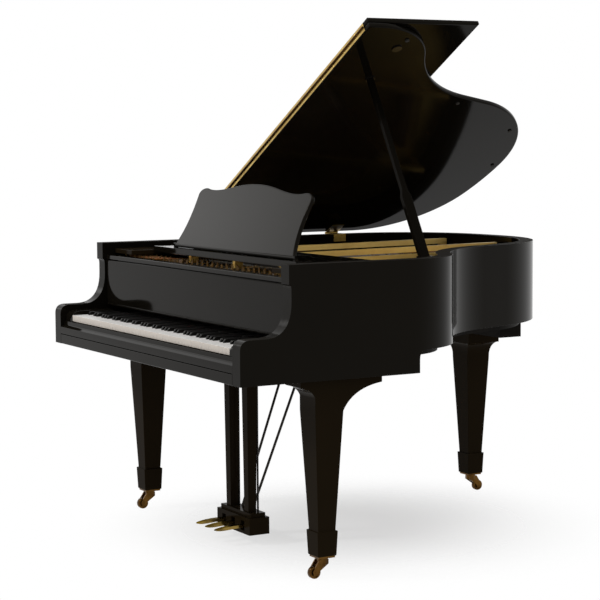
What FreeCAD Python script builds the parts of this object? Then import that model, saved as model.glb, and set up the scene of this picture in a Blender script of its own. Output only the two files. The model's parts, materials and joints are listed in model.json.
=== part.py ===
import FreeCAD, Part
import math
import os

# A baby grand piano, built in millimetres with +Z up. While it is built, x = 0 is the middle of the
# case and +X the treble side, y = 0 the front of the arms and +Y the tail, z = 0 the floor. Each node
# is moved by half the case length when it is written, so the finished origin is the middle of the plan.

# Fits and clearances
GAP = 0.3
SNUG = 0.2
BORE = 0.05

# Case plan: the bent side is a walk of arcs from the shoulder to the bass side
CASE_WIDTH = 1442.0
RIM_THICK = 50.0
SHOULDER_Y = 618.0
SHOULDER_R = 283.0
SHOULDER_TURN = 64.0
WAIST_R = 530.0
WAIST_TURN = 47.0
WAIST_RUN = 130.0
CHEEK_R = 470.0
TAIL_R = 1064.0
TAIL_TURN = 12.2

# Case heights
RIM_TOP = 988.0
RIM_BOTTOM = 702.0
DEEP_BOTTOM = 630.0
DEEP_END = 645.0
DEEP_STEP = 42.0
STEP_COVE = 27.0
ARM_TOP = 769.0
ARM_PROUD = 7.0
ARM_RUN = 91.0
ARM_CURVE_TOP = 878.0
ARM_PULL = 33.0
ARM_PULL_Z = 805.0
BLOCK_PROUD = 8.0
BLOCK_BOTTOM = 928.0
BLOCK_COVE = 16.0
ARM_ROUND = 34.0
ARM_FRONT = 8.0
KEYBED_THICK = 34.0
KEYBED_END = 616.0

# Inside frame
INNER_THICK = 40.0
INNER_BOTTOM = 680.0
SOUNDBOARD_Z = 868.0
SOUNDBOARD_THICK = 8.0
BELLY_FRONT = 490.0
BELLY_THICK = 30.0
BELLY_BOTTOM = 664.0
BEAM_DEPTH = 60.0
BEAM_WIDTH = 60.0
BEAM_SHARES = ((-0.58, -0.58), (-0.17, -0.35), (0.25, -0.11))
TAIL_BLOCK_DROP = 55.0
TAIL_BLOCK_FRONT = 70.0
TAIL_BLOCK_BACK = 61.0
TAIL_BLOCK_IN = 288.0
TAIL_BLOCK_OUT = 272.0
TAIL_BLOCK_INSET = 38.0
RIB_HEIGHT = 18.0
RIB_WIDTH = 22.0
RIB_SLOPE = 0.3
RIB_COUNT = 6

# Keyboard
KEY_CHEEK = 60.0
WHITE_COUNT = 52
KEY_GAP = 1.2
KEY_TOP = 736.0
KEY_THICK = 22.0
KEY_FRONT = 30.0
KEY_END = 425.0
KEY_HEAD = 50.0
SHARP_WIDTH = 10.5
SHARP_TOP = 748.0
SHARP_CLEAR = 5.0
SHARP_SLOPE = 4.0
NOSE_RISE = 2.0
NOSE_RUN = 7.0
STICK_DROP = 2.0
BALANCE_Y = 255.0
BALANCE_BEAD = 8.0
BALANCE_HALF = 20.0
FRAME_SIDE = 4.0
FRAME_FRONT = 40.0
FRONT_RAIL_END = 90.0
FRONT_RAIL_HIGH = 36.0
FRAME_TAIL = 5.0
BACK_RAIL = 35.0
CROSS_INSET = 40.0
CROSS_HALF = 25.0
CROSS_HIGH = 26.0
UNA_CORDA = 2.5
SLIP_THICK = 20.0
SLIP_TOP = 712.0
SLIP_LEDGE_Z = 690.0
SLIP_LEDGE_RISE = 4.0
SLIP_RISER = 6.0
KEY_BLOCK_TOP = 750.0

# Fallboard and the rail above it
FALL_FRONT = 191.0
FALL_THICK = 15.0
FALL_BOTTOM = 764.0
FALL_TOP = 927.0
FALL_PIN_R = 5.0
FALL_PIN_IN = 12.0
FALL_PIN_Z = 775.0
FALL_PIN_REACH = 8.0
FALL_SIDE = 2.0
FALL_CLEAR = 1.0
FALL_FELT_SIDE = 29.0
FALL_FELT_HIGH = 2.0
FALL_FELT_IN = 6.0
FALL_FELT_DEEP = 8.0
STRETCH_TOP = 944.0
STRETCH_BOTTOM = 858.0
STRETCH_LEDGE = 929.5
STRETCH_DEEP = 34.7

# Strings, frame and action
STRIKE_Y = 411.0
STRING_INSET = 71.0
SECTION_BREAK = 40.0
PLAIN_Z = 929.0
PLAIN_R = 0.6
PLAIN_SLANT = -0.12
BASS_Z = 941.0
BASS_R = 2.0
BASS_SLANT = 0.22
HITCH_NEAR = 600.0
HITCH_STEP = 80.0
HITCH_POWER = 1.6
HITCH_PROUD = 2.0
BASS_HITCH_STEP = 2.0
BASS_TAIL_GAP = 170.667
LONG_SHARES = (0.0, 0.13, 0.28, 0.46, 0.64, 0.82, 1.0)
BRIDGE_BACK = 55.0
BRIDGE_WIDTH = 28.0
BRIDGE_OVERRUN = 6.0
BRIDGE_SLOT = 14.0
BRIDGE_SLOT_END = 22.0
PIN_R = 3.4
PIN_ROW_Y = 252.0
PIN_ROW_STEP = 34.0
PIN_TOP = 948.0
HITCH_R = 1.8
PINBLOCK_BACK = 392.0
WEB_Z = 890.0
WEB_TOP = 920.0
WEB_BACK = 395.0
PLATE_THICK = 14.0
PLATE_LAP = 30.0
WINDOW_SIDE = 45.0
WINDOW_CORNER = 60.0
WINDOW_BASS = 300.0
WINDOW_TREBLE = 30.0
RIDGE_SETBACK = 4.0
RIDGE_WIDE = 8.0
RIDGE_SIDE = 15.0
SINK = 1.0
STRUT_WIDTH = 18.0
STRUT_LOW = 957.0
STRUT_FRONT_TOP = 965.0
STRUT_TOP = 970.0
STRUT_BAR = 20.0
STRUT_TONGUE_END = 590.0
STRUT_TAIL_GAP = 105.667
STRUT_TREBLE_GAP = 540.667
STRUT_POST = 32.0
HAMMER_Y = 300.0
HAMMER_Z = 820.0
HAMMER_WIDTH = 8.0
HAMMER_SHANK = 6.0
HAMMER_HEAD_Y = 425.0
HAMMER_HEAD_DEEP = 25.0
HAMMER_HEAD_TOP = 880.0
HAMMER_HEAD_LOW = 812.0
HAMMER_EYE = 4.0
FELT_SIDE = 30.0
FELT_ROUND = 6.0
MOULDING = 6.0
MOULDING_HIGH = 14.0
RAIL_HIGH = 22.0
RAIL_CLEAR = 1.0
REST_SETBACK = 29.0
REST_WIDE = 10.0
REST_HIGH = 12.0
BRACKET_CLEAR = 11.0
BRACKET_ARM = 26.0
BRACKET_KNEE = 50.0
BRACKET_HIP = 20.0
BRACKET_HEAD = 32.0
BRACKET_THICK = 10.0
DAMPER_Y = 476.0
DAMPER_COUNT = 67
DAMPER_LENGTH = 50.0
DAMPER_WIDTH = 12.0
WIRE_R = 1.2
BASS_FELT = 2.8
BASS_HEAD = 4.0
PLAIN_FELT = 4.4
PLAIN_HEAD = 9.6
LIFT_TRAY_HALF = 13.0
TRAY_Z = 700.0
LIFT_TRAY_THICK = 12.0

# Music desk
SHELF_LAP = 20.0
SHELF_FRONT = 225.0
SHELF_BACK = 430.0
SHELF_Z = 950.0
SHELF_THICK = 16.0
TRAY_INSET = 129.0
TRAY_FRONT = 321.0
TRAY_BACK = 575.0
TRAY_THICK = 11.7
LIP_THICK = 8.0
LIP_CLEAR = 2.0
LIP_LOW = 960.0
LIP_HIGH = 980.0
DESK_Y = 360.0
DESK_THICK = 14.0
DESK_LEAN = 25.0
DESK_INSET = 111.0
DESK_SHOULDER_IN = 28.0
DESK_SHOULDER_V = 190.0
DESK_PEAK_IN = 82.0
DESK_PEAK_V = 222.0
DESK_DIP_IN = 170.0
DESK_DIP_V = 218.0
DESK_CREST_V = 245.0
DESK_SIDE_IN = 43.5
DESK_SIDE_V = 77.5
CORNER_OUT = 6.0
CORNER_RISE = 21.0
PEAK_PULL = 34.0
PEAK_RISE = 3.0
PEAK_FALL_PULL = 26.0
PEAK_FALL = 6.0
DIP_PULL = 30.0
DIP_SAG = 2.0
CREST_PULL = 75.0
CREST_RISE = 5.0
CREST_TOP_PULL = 145.0
LUG_THICK = 10.0
LUG_HALF = 7.0
DESK_PIN_R = 3.0
STRUT_ARM = 105.0
STRUT_OFFSET = 12.5
STRUT_HALF = 30.0
STRUT_THICK = 8.0
STRUT_EYE = 5.0

# Lid
LID_OVERHANG = 8.0
LID_GAP = 5.0
LID_THICK = 17.0
LID_OPEN = 29.5
FLAP_LINE = 570.0
FLAP_DEPTH = 431.0
SEAM_BARREL = 3.0
SEAM_PIN = 1.2
SEAM_STRIP = 1.5
SEAM_END = 30.0
SEAM_MARGIN = 4.0
KNUCKLE_COUNT = 9
SEAM_RISE = 0.6
BUTT_R = 5.0
BUTT_PIN = 2.0
BUTT_LENGTH = 54.0
BUTT_LEAF = 2.0
BUTT_DROP = 28.0
BUTT_NEAR = 640.0
BUTT_FAR = 1182.0
BUMPER_R = 7.0
PROP_INSET = 77.0
PROP_Y = 744.0
PROP_Z = 979.0
PROP_WIDE = 36.0
PROP_NARROW = 20.0
PROP_THICK = 16.0
PROP_PIN = 4.0
PROP_WAIST = 0.34
PROP_WAIST_RUN = 20.0
BRACKET_DROP = 34.0
EAR_DROP = 10.0
PROP_CLEAR = 6.0
EAR_THICK = 7.7
CUP_R = 17.0
CUP_DEEP = 4.0
LOW_CUP_STEP = 190.0

# Legs and casters
LEG_INSET = 86.0
LEG_Y = 336.0
REAR_LEG_INSET = 433.0
REAR_LEG_TAIL = 111.667
LEG_HEAD = 23.0
LEG_WIDE = 100.0
LEG_NARROW = 62.0
LEG_COVE_Z = 80.0
COVE_FRONT = 51.0
COVE_FRONT_Z = 35.0
COVE_BACK = 141.0
COVE_REAR_LEG = 11.0
COVE_REAR_LEG_Z = 30.0
COVE_PULL = 0.25
COVE_PULL_Z = 0.15
CUFF_TOP = 151.0
CUFF_WIDE = 73.0
CUFF_NARROW = 66.0
CUFF_BOTTOM = 72.0
CASTER_PLATE = 6.0
STEM_R = 6.0
STEM_LENGTH = 26.0
WHEEL_R = 20.0
WHEEL_WIDE = 20.0
AXLE_R = 4.0
TRAIL = 30.0
FORK_ARM = 5.0
FORK_TOP = 60.0
FORK_HEAD_R = 18.0
FORK_HEAD_DEEP = 14.0
FORK_NOSE = 14.0
FORK_FOOT = 8.0
FORK_FLARE = 12.0
FORK_RISE = 4.0
FORK_DROP = 9.0
WHEEL_ROUND = 4.0
PLATE_INSET = 4.0

# Lyre and pedals
LYRE_Y = 386.0
POST_X = 65.0
POST_TOP = 40.0
POST_BOTTOM = 30.0
LYRE_RAIL_Z = 590.0
LYRE_RAIL_HIGH = 22.0
LYRE_RAIL_BACK = 430.0
LYRE_RAIL_OVER = 8.0
BOX_HALF = 119.0
BOX_FRONT = 354.0
BOX_BACK = 430.0
BOX_BOTTOM = 32.0
BOX_TOP = 90.0
BOX_STEP = 14.0
BOX_STEP_INSET = 10.0
PEDAL_PITCH = 68.0
PEDAL_WIDE = 22.0
PEDAL_THICK = 10.0
PEDAL_TIP = 247.0
PEDAL_END = 419.0
PEDAL_Y = 385.0
PEDAL_Z = 58.0
PEDAL_PIN = 4.0
PEDAL_SLOT_LOW = 42.0
PEDAL_SLOT_HIGH = 76.0
PEDAL_SLOT_SIDE = 2.0
PEDAL_SLOT_END = 4.0
PEDAL_PIN_REACH = 8.0
PEDAL_NECK = 20.0
TOE_PULL = 24.0
TOE_PULL_TOP = 50.0
TOE_PULL_LOW = 55.0
TOE_DROP = 6.0
ROD_Y = 414.0
ROD_R = 3.5
ROD_TOP = 620.0
BRACE_X = 36.0
BRACE_TOP_X = 60.0
BRACE_FOOT_Y = 410.0
BRACE_TOP_Y = 612.0
BRACE_R = 4.5

# Derived values
HALF_WIDTH = CASE_WIDTH / 2
INNER_X = HALF_WIDTH - RIM_THICK
KEYBED_TOP = DEEP_BOTTOM + KEYBED_THICK
BOARD_TOP = SOUNDBOARD_Z + SOUNDBOARD_THICK
PLATE_TOP = BOARD_TOP + PLATE_THICK
KEY_LOW = KEY_TOP - KEY_THICK
FRAME_LOW = KEYBED_TOP + GAP
RAIL_TOP = KEY_LOW - GAP
KEYS_HALF = INNER_X - KEY_CHEEK
KEY_PITCH = 2 * KEYS_HALF / WHITE_COUNT
BRACKET_X = KEYS_HALF + BRACKET_CLEAR
STRING_SPAN = 2 * (INNER_X - STRING_INSET)
TRAY_HALF = INNER_X - TRAY_INSET
SHELF_INNER = TRAY_HALF - SHELF_LAP
DESK_FOOT = TRAY_HALF - DESK_INSET
PROP_X = INNER_X - PROP_INSET
LEG_X = HALF_WIDTH - LEG_INSET
REAR_LEG_X = REAR_LEG_INSET - HALF_WIDTH
ARM_BACK = FALL_FRONT - ARM_PROUD
ARM_FLAT_END = ARM_BACK - ARM_RUN
BLOCK_FRONT = ARM_BACK - BLOCK_PROUD
SHARP_END = FALL_FRONT - SHARP_CLEAR
FALL_PIN_Y = FALL_FRONT + FALL_PIN_IN
STRETCH_BACK = FALL_FRONT + STRETCH_DEEP
TRAY_LOW = SHELF_Z + SHELF_THICK + GAP
TRAY_TOP = TRAY_LOW + TRAY_THICK
DESK_Z = TRAY_TOP + DESK_THICK / 2 + GAP
LID_LOW = RIM_TOP + LID_GAP
LID_TOP = LID_LOW + LID_THICK
LID_EDGE = HALF_WIDTH + LID_OVERHANG
LID_AXIS_X = -(LID_EDGE + BUTT_R + 0.5)
LID_AXIS_Z = RIM_TOP + LID_GAP / 2
SEAM_Z = LID_TOP + SEAM_RISE
SEAM_SIDE = SEAM_BARREL + 0.4
SEAM_HALF = LID_EDGE - SEAM_END
NOTE_COUNT = 88
BREAKS = (20, 44, 67)
NOTE_STEP = (STRING_SPAN - len(BREAKS) * SECTION_BREAK) / (NOTE_COUNT - 1 - len(BREAKS))
SHARPS_IN_OCTAVE = (1, 4, 6, 9, 11)
MIDDLE_C = 39
PEDAL_XS = (-PEDAL_PITCH, 0.0, PEDAL_PITCH)
LYRE_TOP_Z = BOX_TOP + BOX_STEP

V = FreeCAD.Vector
X_AXIS = V(1, 0, 0)
Y_AXIS = V(0, 1, 0)


def box(x0, x1, y0, y1, z0, z1):
    return Part.makeBox(x1 - x0, y1 - y0, z1 - z0, V(x0, y0, z0))


def rod(start, end, radius):
    along = end - start
    return Part.makeCylinder(radius, along.Length, start, along)


def closed_wire(start, steps, lift):
    """Wire from start through the steps and back; one pole is a line, more make a Bezier curve."""
    edges = []
    here = start
    steps = list(steps)
    if steps[-1][-1] != start:
        steps.append([start])
    for step in steps:
        poles = [lift(*pole) for pole in [here] + list(step)]
        here = step[-1]
        if len(poles) == 2:
            edges.append(Part.makeLine(poles[0], poles[1]))
            continue
        curve = Part.BezierCurve()
        curve.setPoles(poles)
        edges.append(curve.toShape())
    return Part.Wire(edges)


def side_prism(start, steps, x0, x1):
    """A y, z profile drawn across the width from x0 to x1."""
    wire = closed_wire(start, steps, lambda y, z: V(x0, y, z))
    return Part.Face(wire).extrude(V(x1 - x0, 0, 0))


def plan_prism(start, steps, z0, z1):
    """An x, y profile drawn up from z0 to z1."""
    wire = closed_wire(start, steps, lambda x, y: V(x, y, z0))
    return Part.Face(wire).extrude(V(0, 0, z1 - z0))


def lines(points):
    return [[point] for point in points]


def fuse(shapes):
    whole = shapes[0].fuse(list(shapes[1:]))
    return whole.removeSplitter()


def group(shapes):
    return Part.makeCompound(list(shapes))


def both_sides(shape):
    return [shape, shape.mirror(V(0, 0, 0), X_AXIS)]


def bends(offset):
    """Start, middle and end of each bend of the case plan, this far outside the case."""
    x = HALF_WIDTH + offset
    y = SHOULDER_Y
    heading = 0.0
    cheek_turn = 90.0 - SHOULDER_TURN + WAIST_TURN
    walk = ((SHOULDER_R, SHOULDER_TURN), (WAIST_R, -WAIST_TURN), (WAIST_RUN, 0.0),
            (CHEEK_R, cheek_turn), (TAIL_R, TAIL_TURN), (None, 90.0 - TAIL_TURN))
    spans = []
    for size, turn in walk:
        a = math.radians(heading)
        b = math.radians(heading + turn)
        mid = (a + b) / 2
        if turn == 0.0:
            ends = [(x - size * part * math.sin(a), y + size * part * math.cos(a)) for part in (0.5, 1.0)]
        else:
            side = math.copysign(1.0, turn)
            if size is None:
                radius = (x + HALF_WIDTH + offset) / (1 + math.cos(a))
            else:
                radius = size + side * offset
            cx = x - side * radius * math.cos(a)
            cy = y - side * radius * math.sin(a)
            ends = [(cx + side * radius * math.cos(t), cy + side * radius * math.sin(t)) for t in (mid, b)]
        spans.append(((x, y), ends[0], ends[1], turn))
        x, y = ends[1]
        heading += turn
    return spans


TAIL_Y = bends(0.0)[3][2][1]
MID_Y = (ARM_FRONT + TAIL_Y + LID_OVERHANG) / 2
REAR_LEG_Y = TAIL_Y - REAR_LEG_TAIL
BASS_HITCH = TAIL_Y - BASS_TAIL_GAP
HITCH_RUN = BASS_HITCH - HITCH_STEP - HITCH_NEAR
STRUT_TAIL = TAIL_Y - STRUT_TAIL_GAP
STRUT_TREBLE = TAIL_Y - STRUT_TREBLE_GAP
LEG_SPOTS = ((-LEG_X, LEG_Y, -1), (LEG_X, LEG_Y, -1), (REAR_LEG_X, REAR_LEG_Y, 1))


def plan_block(offset, front, z0, z1):
    """The case plan at this offset, cut straight across at the front, drawn up from z0 to z1."""
    spans = bends(offset)
    right = spans[0][0]
    left = spans[-1][2]
    edges = [Part.makeLine(V(right[0], front, z0), V(right[0], right[1], z0))]
    for start, middle, end, turn in spans:
        points = [V(p[0], p[1], z0) for p in (start, middle, end)]
        if turn == 0.0:
            edges.append(Part.makeLine(points[0], points[2]))
        else:
            edges.append(Part.Arc(points[0], points[1], points[2]).toShape())
    edges.append(Part.makeLine(V(left[0], left[1], z0), V(left[0], front, z0)))
    edges.append(Part.makeLine(V(left[0], front, z0), V(right[0], front, z0)))
    return Part.Face(Part.Wire(edges)).extrude(V(0, 0, z1 - z0))


def outer_rim():
    front = -RIM_THICK
    ring = plan_block(0.0, front, DEEP_BOTTOM, RIM_TOP)
    ring = ring.cut(plan_block(-RIM_THICK, 2 * front, DEEP_BOTTOM - 1, RIM_TOP + 1))
    step_top = DEEP_BOTTOM + DEEP_STEP
    arm_z = ARM_TOP - ARM_ROUND
    steps = [
        [(ARM_FRONT, arm_z)],
        [(ARM_FRONT, ARM_TOP), (ARM_FRONT + ARM_ROUND, ARM_TOP)],
        [(ARM_FLAT_END, ARM_TOP)],
        [(ARM_BACK - ARM_PULL, ARM_TOP), (ARM_BACK, ARM_PULL_Z), (ARM_BACK, ARM_CURVE_TOP)],
        [(ARM_BACK, BLOCK_BOTTOM - BLOCK_COVE)],
        [(ARM_BACK, BLOCK_BOTTOM), (BLOCK_FRONT, BLOCK_BOTTOM)],
        [(BLOCK_FRONT, RIM_TOP)],
        [(TAIL_Y + RIM_THICK, RIM_TOP)],
        [(TAIL_Y + RIM_THICK, RIM_BOTTOM)],
        [(DEEP_END + STEP_COVE, RIM_BOTTOM)],
        [(DEEP_END, RIM_BOTTOM), (DEEP_END, step_top)],
        [(DEEP_END, DEEP_BOTTOM)],
    ]
    side = side_prism((ARM_FRONT, DEEP_BOTTOM), steps, -CASE_WIDTH, CASE_WIDTH)
    rim = ring.common(side)
    pin = V(INNER_X + FALL_PIN_REACH, FALL_PIN_Y, FALL_PIN_Z)
    return rim.cut(rod(V(-pin.x, pin.y, pin.z), pin, FALL_PIN_R + BORE))


def inner_rim():
    outside = -RIM_THICK - SNUG
    front = BELLY_FRONT + BELLY_THICK
    ring = plan_block(outside, front, INNER_BOTTOM, SOUNDBOARD_Z)
    return ring.cut(plan_block(outside - INNER_THICK, BELLY_FRONT, INNER_BOTTOM - 1, SOUNDBOARD_Z + 1))


def inside(offset_in, z0, z1):
    """The space inside the inner rim, drawn in by offset_in, behind the belly rail."""
    return plan_block(-RIM_THICK - SNUG - INNER_THICK - offset_in, BELLY_FRONT + BELLY_THICK, z0, z1)


def keybed():
    return box(-INNER_X, INNER_X, ARM_FRONT, KEYBED_END, DEEP_BOTTOM, KEYBED_TOP)


def key_slip():
    """A front board with a sloping ledge, and a thin riser behind the ledge up to the keys."""
    back = ARM_FRONT + SLIP_THICK
    riser = back - SLIP_RISER
    outline = [(ARM_FRONT, SLIP_LEDGE_Z), (riser, SLIP_LEDGE_Z + SLIP_LEDGE_RISE), (riser, SLIP_TOP),
               (back, SLIP_TOP), (back, KEYBED_TOP)]
    return side_prism((ARM_FRONT, KEYBED_TOP), lines(outline), -INNER_X, INNER_X)


def key_blocks():
    front = ARM_FRONT + SLIP_THICK
    inner = KEYS_HALF + UNA_CORDA + GAP
    steps = [
        [(front, KEY_BLOCK_TOP - ARM_ROUND)],
        [(front, KEY_BLOCK_TOP), (front + ARM_ROUND, KEY_BLOCK_TOP)],
        [(FALL_FRONT, KEY_BLOCK_TOP)],
        [(FALL_FRONT, KEYBED_TOP)],
    ]
    return group(both_sides(side_prism((front, KEYBED_TOP), steps, inner, INNER_X)))


def stretcher():
    upright = FALL_FRONT + FALL_THICK + FALL_CLEAR
    points = [(STRETCH_BACK, STRETCH_BOTTOM), (STRETCH_BACK, STRETCH_TOP), (FALL_FRONT, STRETCH_TOP),
              (FALL_FRONT, STRETCH_LEDGE), (upright, STRETCH_LEDGE)]
    return side_prism((upright, STRETCH_BOTTOM), lines(points), -INNER_X, INNER_X)


def case_beams():
    belly = box(-INNER_X, INNER_X, BELLY_FRONT, BELLY_FRONT + BELLY_THICK, BELLY_BOTTOM, SOUNDBOARD_Z)
    back = BELLY_FRONT + BELLY_THICK
    space = inside(SNUG, INNER_BOTTOM, INNER_BOTTOM + BEAM_DEPTH)
    beams = [belly]
    half = BEAM_WIDTH / 2
    for front_share, tail_share in BEAM_SHARES:
        front_x = front_share * HALF_WIDTH
        tail_x = tail_share * HALF_WIDTH
        points = [(front_x + half, back), (tail_x + half, TAIL_Y), (tail_x - half, TAIL_Y)]
        bar = plan_prism((front_x - half, back), lines(points), INNER_BOTTOM, INNER_BOTTOM + BEAM_DEPTH)
        beams.append(bar.common(space))
    low = INNER_BOTTOM - TAIL_BLOCK_DROP
    block = box(REAR_LEG_X - TAIL_BLOCK_OUT, REAR_LEG_X + TAIL_BLOCK_IN, REAR_LEG_Y - TAIL_BLOCK_FRONT,
                REAR_LEG_Y + TAIL_BLOCK_BACK, low, INNER_BOTTOM)
    beams.append(block.common(plan_block(-TAIL_BLOCK_INSET, BELLY_FRONT, low, INNER_BOTTOM)))
    return group(beams)


def soundboard():
    return plan_block(-RIM_THICK - SNUG, BELLY_FRONT, SOUNDBOARD_Z, BOARD_TOP)


def soundboard_ribs():
    space = inside(GAP, SOUNDBOARD_Z - RIB_HEIGHT, SOUNDBOARD_Z)
    pitch = (TAIL_Y - BELLY_FRONT) / (RIB_COUNT + 1)
    bars = []
    for rib in range(1, RIB_COUNT + 1):
        y = BELLY_FRONT + pitch * rib
        run = CASE_WIDTH * RIB_SLOPE
        points = [(HALF_WIDTH, y - run), (HALF_WIDTH, y - run + RIB_WIDTH),
                  (-HALF_WIDTH, y + run + RIB_WIDTH)]
        bar = plan_prism((-HALF_WIDTH, y + run), lines(points), SOUNDBOARD_Z - RIB_HEIGHT, SOUNDBOARD_Z)
        bars.extend(bar.common(space).Solids)
    return group(bars)


def is_sharp(note):
    return note % 12 in SHARPS_IN_OCTAVE


def is_bass(note):
    return note < BREAKS[0]


def note_x(note, y):
    """Where a note's string lies at y; the hammers and dampers keep to the same line."""
    passed = sum(1 for first in BREAKS if note >= first)
    x = -STRING_SPAN / 2 + NOTE_STEP * note + (SECTION_BREAK - NOTE_STEP) * passed
    slant = BASS_SLANT if is_bass(note) else PLAIN_SLANT
    return x + slant * (y - STRIKE_Y)


def hitch_y(note):
    if is_bass(note):
        return BASS_HITCH - BASS_HITCH_STEP * note
    left = (NOTE_COUNT - 1 - note) / (NOTE_COUNT - 1 - BREAKS[0])
    return HITCH_NEAR + HITCH_RUN * left ** HITCH_POWER


def pin_y(note):
    return PIN_ROW_Y + PIN_ROW_STEP * (note % 3)


def string_size(note):
    return (BASS_Z, BASS_R) if is_bass(note) else (PLAIN_Z, PLAIN_R)


def string(note):
    z, radius = string_size(note)
    front = pin_y(note)
    back = hitch_y(note)
    return rod(V(note_x(note, front), front, z), V(note_x(note, back), back, z), radius)


def plain_strings():
    return group(string(note) for note in range(BREAKS[0], NOTE_COUNT))


def wound_strings():
    return group(string(note) for note in range(BREAKS[0]))


def string_pins():
    pins = []
    for note in range(NOTE_COUNT):
        z, radius = string_size(note)
        y = pin_y(note)
        x = note_x(note, y) + PIN_R + radius + SNUG
        pins.append(rod(V(x, y, WEB_TOP), V(x, y, PIN_TOP), PIN_R))
        y = hitch_y(note) - HITCH_R
        x = note_x(note, y) + HITCH_R + radius + SNUG
        pins.append(rod(V(x, y, PLATE_TOP), V(x, y, z + radius + HITCH_PROUD), HITCH_R))
    return group(pins)


def band(line, half, z0, z1):
    """A bar of this half width along a smooth plan line."""
    edges = []
    for side in (-half, half):
        curve = Part.BSplineCurve()
        curve.interpolate([V(x, y + side, z0) for x, y in line])
        edges.append(curve.toShape())
    near, far = edges
    right = Part.makeLine(near.lastVertex().Point, far.lastVertex().Point)
    left = Part.makeLine(near.firstVertex().Point, far.firstVertex().Point)
    return Part.Face(Part.Wire(Part.__sortEdges__([near, right, far, left]))).extrude(V(0, 0, z1 - z0))


def bridge_line(notes):
    return [(note_x(note, hitch_y(note) - BRIDGE_BACK), hitch_y(note) - BRIDGE_BACK) for note in notes]


def long_notes():
    """Notes that place the long bridge, from the treble end to the first break."""
    last = NOTE_COUNT - 1
    return [last - round(share * (last - BREAKS[0])) for share in LONG_SHARES]


def bass_notes():
    """First and last wound string."""
    return [0, BREAKS[0] - 1]


def widened(line, extra):
    """The same line carried on past both ends."""
    (x0, y0), (x1, y1) = line[0], line[1]
    (x2, y2), (x3, y3) = line[-2], line[-1]
    first = extra / math.hypot(x1 - x0, y1 - y0)
    last = extra / math.hypot(x3 - x2, y3 - y2)
    head = (x0 - (x1 - x0) * first, y0 - (y1 - y0) * first)
    end = (x3 + (x3 - x2) * last, y3 + (y3 - y2) * last)
    return [head] + list(line[1:-1]) + [end]


def bridges():
    long_top = PLAIN_Z - PLAIN_R - SNUG
    bass_top = BASS_Z - BASS_R - SNUG
    return group([
        band(widened(bridge_line(long_notes()), BRIDGE_OVERRUN), BRIDGE_WIDTH / 2, BOARD_TOP, long_top),
        band(widened(bridge_line(bass_notes()), BRIDGE_OVERRUN), BRIDGE_WIDTH / 2, BOARD_TOP, bass_top),
    ])


def pinblock():
    return box(-INNER_X + SNUG, INNER_X - SNUG, STRETCH_BACK + GAP, PINBLOCK_BACK, STRETCH_BOTTOM, WEB_Z)


def break_x(index):
    note = BREAKS[index]
    return (note_x(note - 1, STRIKE_Y) + note_x(note, STRIKE_Y)) / 2


def plate_strut(index, tail):
    """One bar over the strings at a section break, with a post at each end."""
    half = STRUT_WIDTH / 2

    def bar(y0, y1, z0, z1):
        points = []
        for y, side in ((y0, half), (y1, half), (y1, -half), (y0, -half)):
            points.append((break_x(index) + PLAIN_SLANT * (y - STRIKE_Y) + side, y))
        return plan_prism(points[0], lines(points[1:]), z0, z1)

    front = WEB_BACK - STRUT_POST
    return [
        bar(front, WEB_BACK, WEB_TOP - SINK, STRUT_FRONT_TOP),
        bar(front, STRUT_TONGUE_END, STRUT_LOW, STRUT_FRONT_TOP),
        bar(STRUT_TONGUE_END, tail, STRUT_TOP - STRUT_BAR, STRUT_TOP),
        bar(tail - STRUT_POST, tail, PLATE_TOP - SINK, STRUT_TOP),
    ]


def iron_plate():
    edge = -RIM_THICK - SNUG
    window_x = INNER_X - WINDOW_SIDE
    body = plan_block(edge, BELLY_FRONT, BOARD_TOP, PLATE_TOP)
    line = [(note_x(note, hitch_y(note)), hitch_y(note) - BRIDGE_BACK / 2) for note in long_notes()]
    curve = Part.BSplineCurve()
    curve.interpolate([V(x, y, BOARD_TOP - 1) for x, y in line])
    corners = [line[-1], (-window_x + WINDOW_CORNER, line[-1][1] - WINDOW_CORNER),
               (-window_x, BASS_HITCH - WINDOW_BASS), (-window_x, WEB_BACK), (window_x, WEB_BACK),
               (window_x, line[0][1] - WINDOW_TREBLE), line[0]]
    edges = [curve.toShape()]
    for here, there in zip(corners, corners[1:]):
        edges.append(Part.makeLine(V(*here, BOARD_TOP - 1), V(*there, BOARD_TOP - 1)))
    window = Part.Face(Part.Wire(Part.__sortEdges__(edges))).extrude(V(0, 0, PLATE_THICK + 2))
    slot_line = widened(bridge_line(bass_notes()), BRIDGE_SLOT_END)
    slot = band(slot_line, BRIDGE_WIDTH / 2 + BRIDGE_SLOT, BOARD_TOP - 1, PLATE_TOP + 1)
    body = body.cut([window, slot])
    web = box(-INNER_X + SNUG, INNER_X - SNUG, STRETCH_BACK + GAP, WEB_BACK, WEB_Z, WEB_TOP)
    cheek = box(window_x, INNER_X - SNUG, WEB_BACK - SINK, BELLY_FRONT + PLATE_LAP, WEB_Z, WEB_TOP)
    ridge_back = WEB_BACK - RIDGE_SETBACK
    ridge_front = ridge_back - RIDGE_WIDE
    ridge_low = WEB_TOP - SINK
    side = STRING_SPAN / 2 + RIDGE_SIDE
    strut_half = STRUT_WIDTH / 2
    ridges = [
        box(-side, break_x(0) - strut_half, ridge_front, ridge_back, ridge_low, BASS_Z - BASS_R - SNUG),
        box(break_x(0) + strut_half, side, ridge_front, ridge_back, ridge_low, PLAIN_Z - PLAIN_R - SNUG),
    ]
    struts = []
    for index, tail in enumerate((STRUT_TAIL, STRUT_TAIL, STRUT_TREBLE)):
        struts.extend(plate_strut(index, tail))
    return fuse([body, web] + both_sides(cheek) + ridges + struts)


def key_edges():
    """Centre of every key's front, whites and sharps, in note order."""
    places = []
    white = 0
    for note in range(NOTE_COUNT):
        if is_sharp(note):
            places.append(-KEYS_HALF + KEY_PITCH * white)
        else:
            places.append(-KEYS_HALF + KEY_PITCH * (white + 0.5))
            white += 1
    return places


KEY_XS = key_edges()


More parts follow.
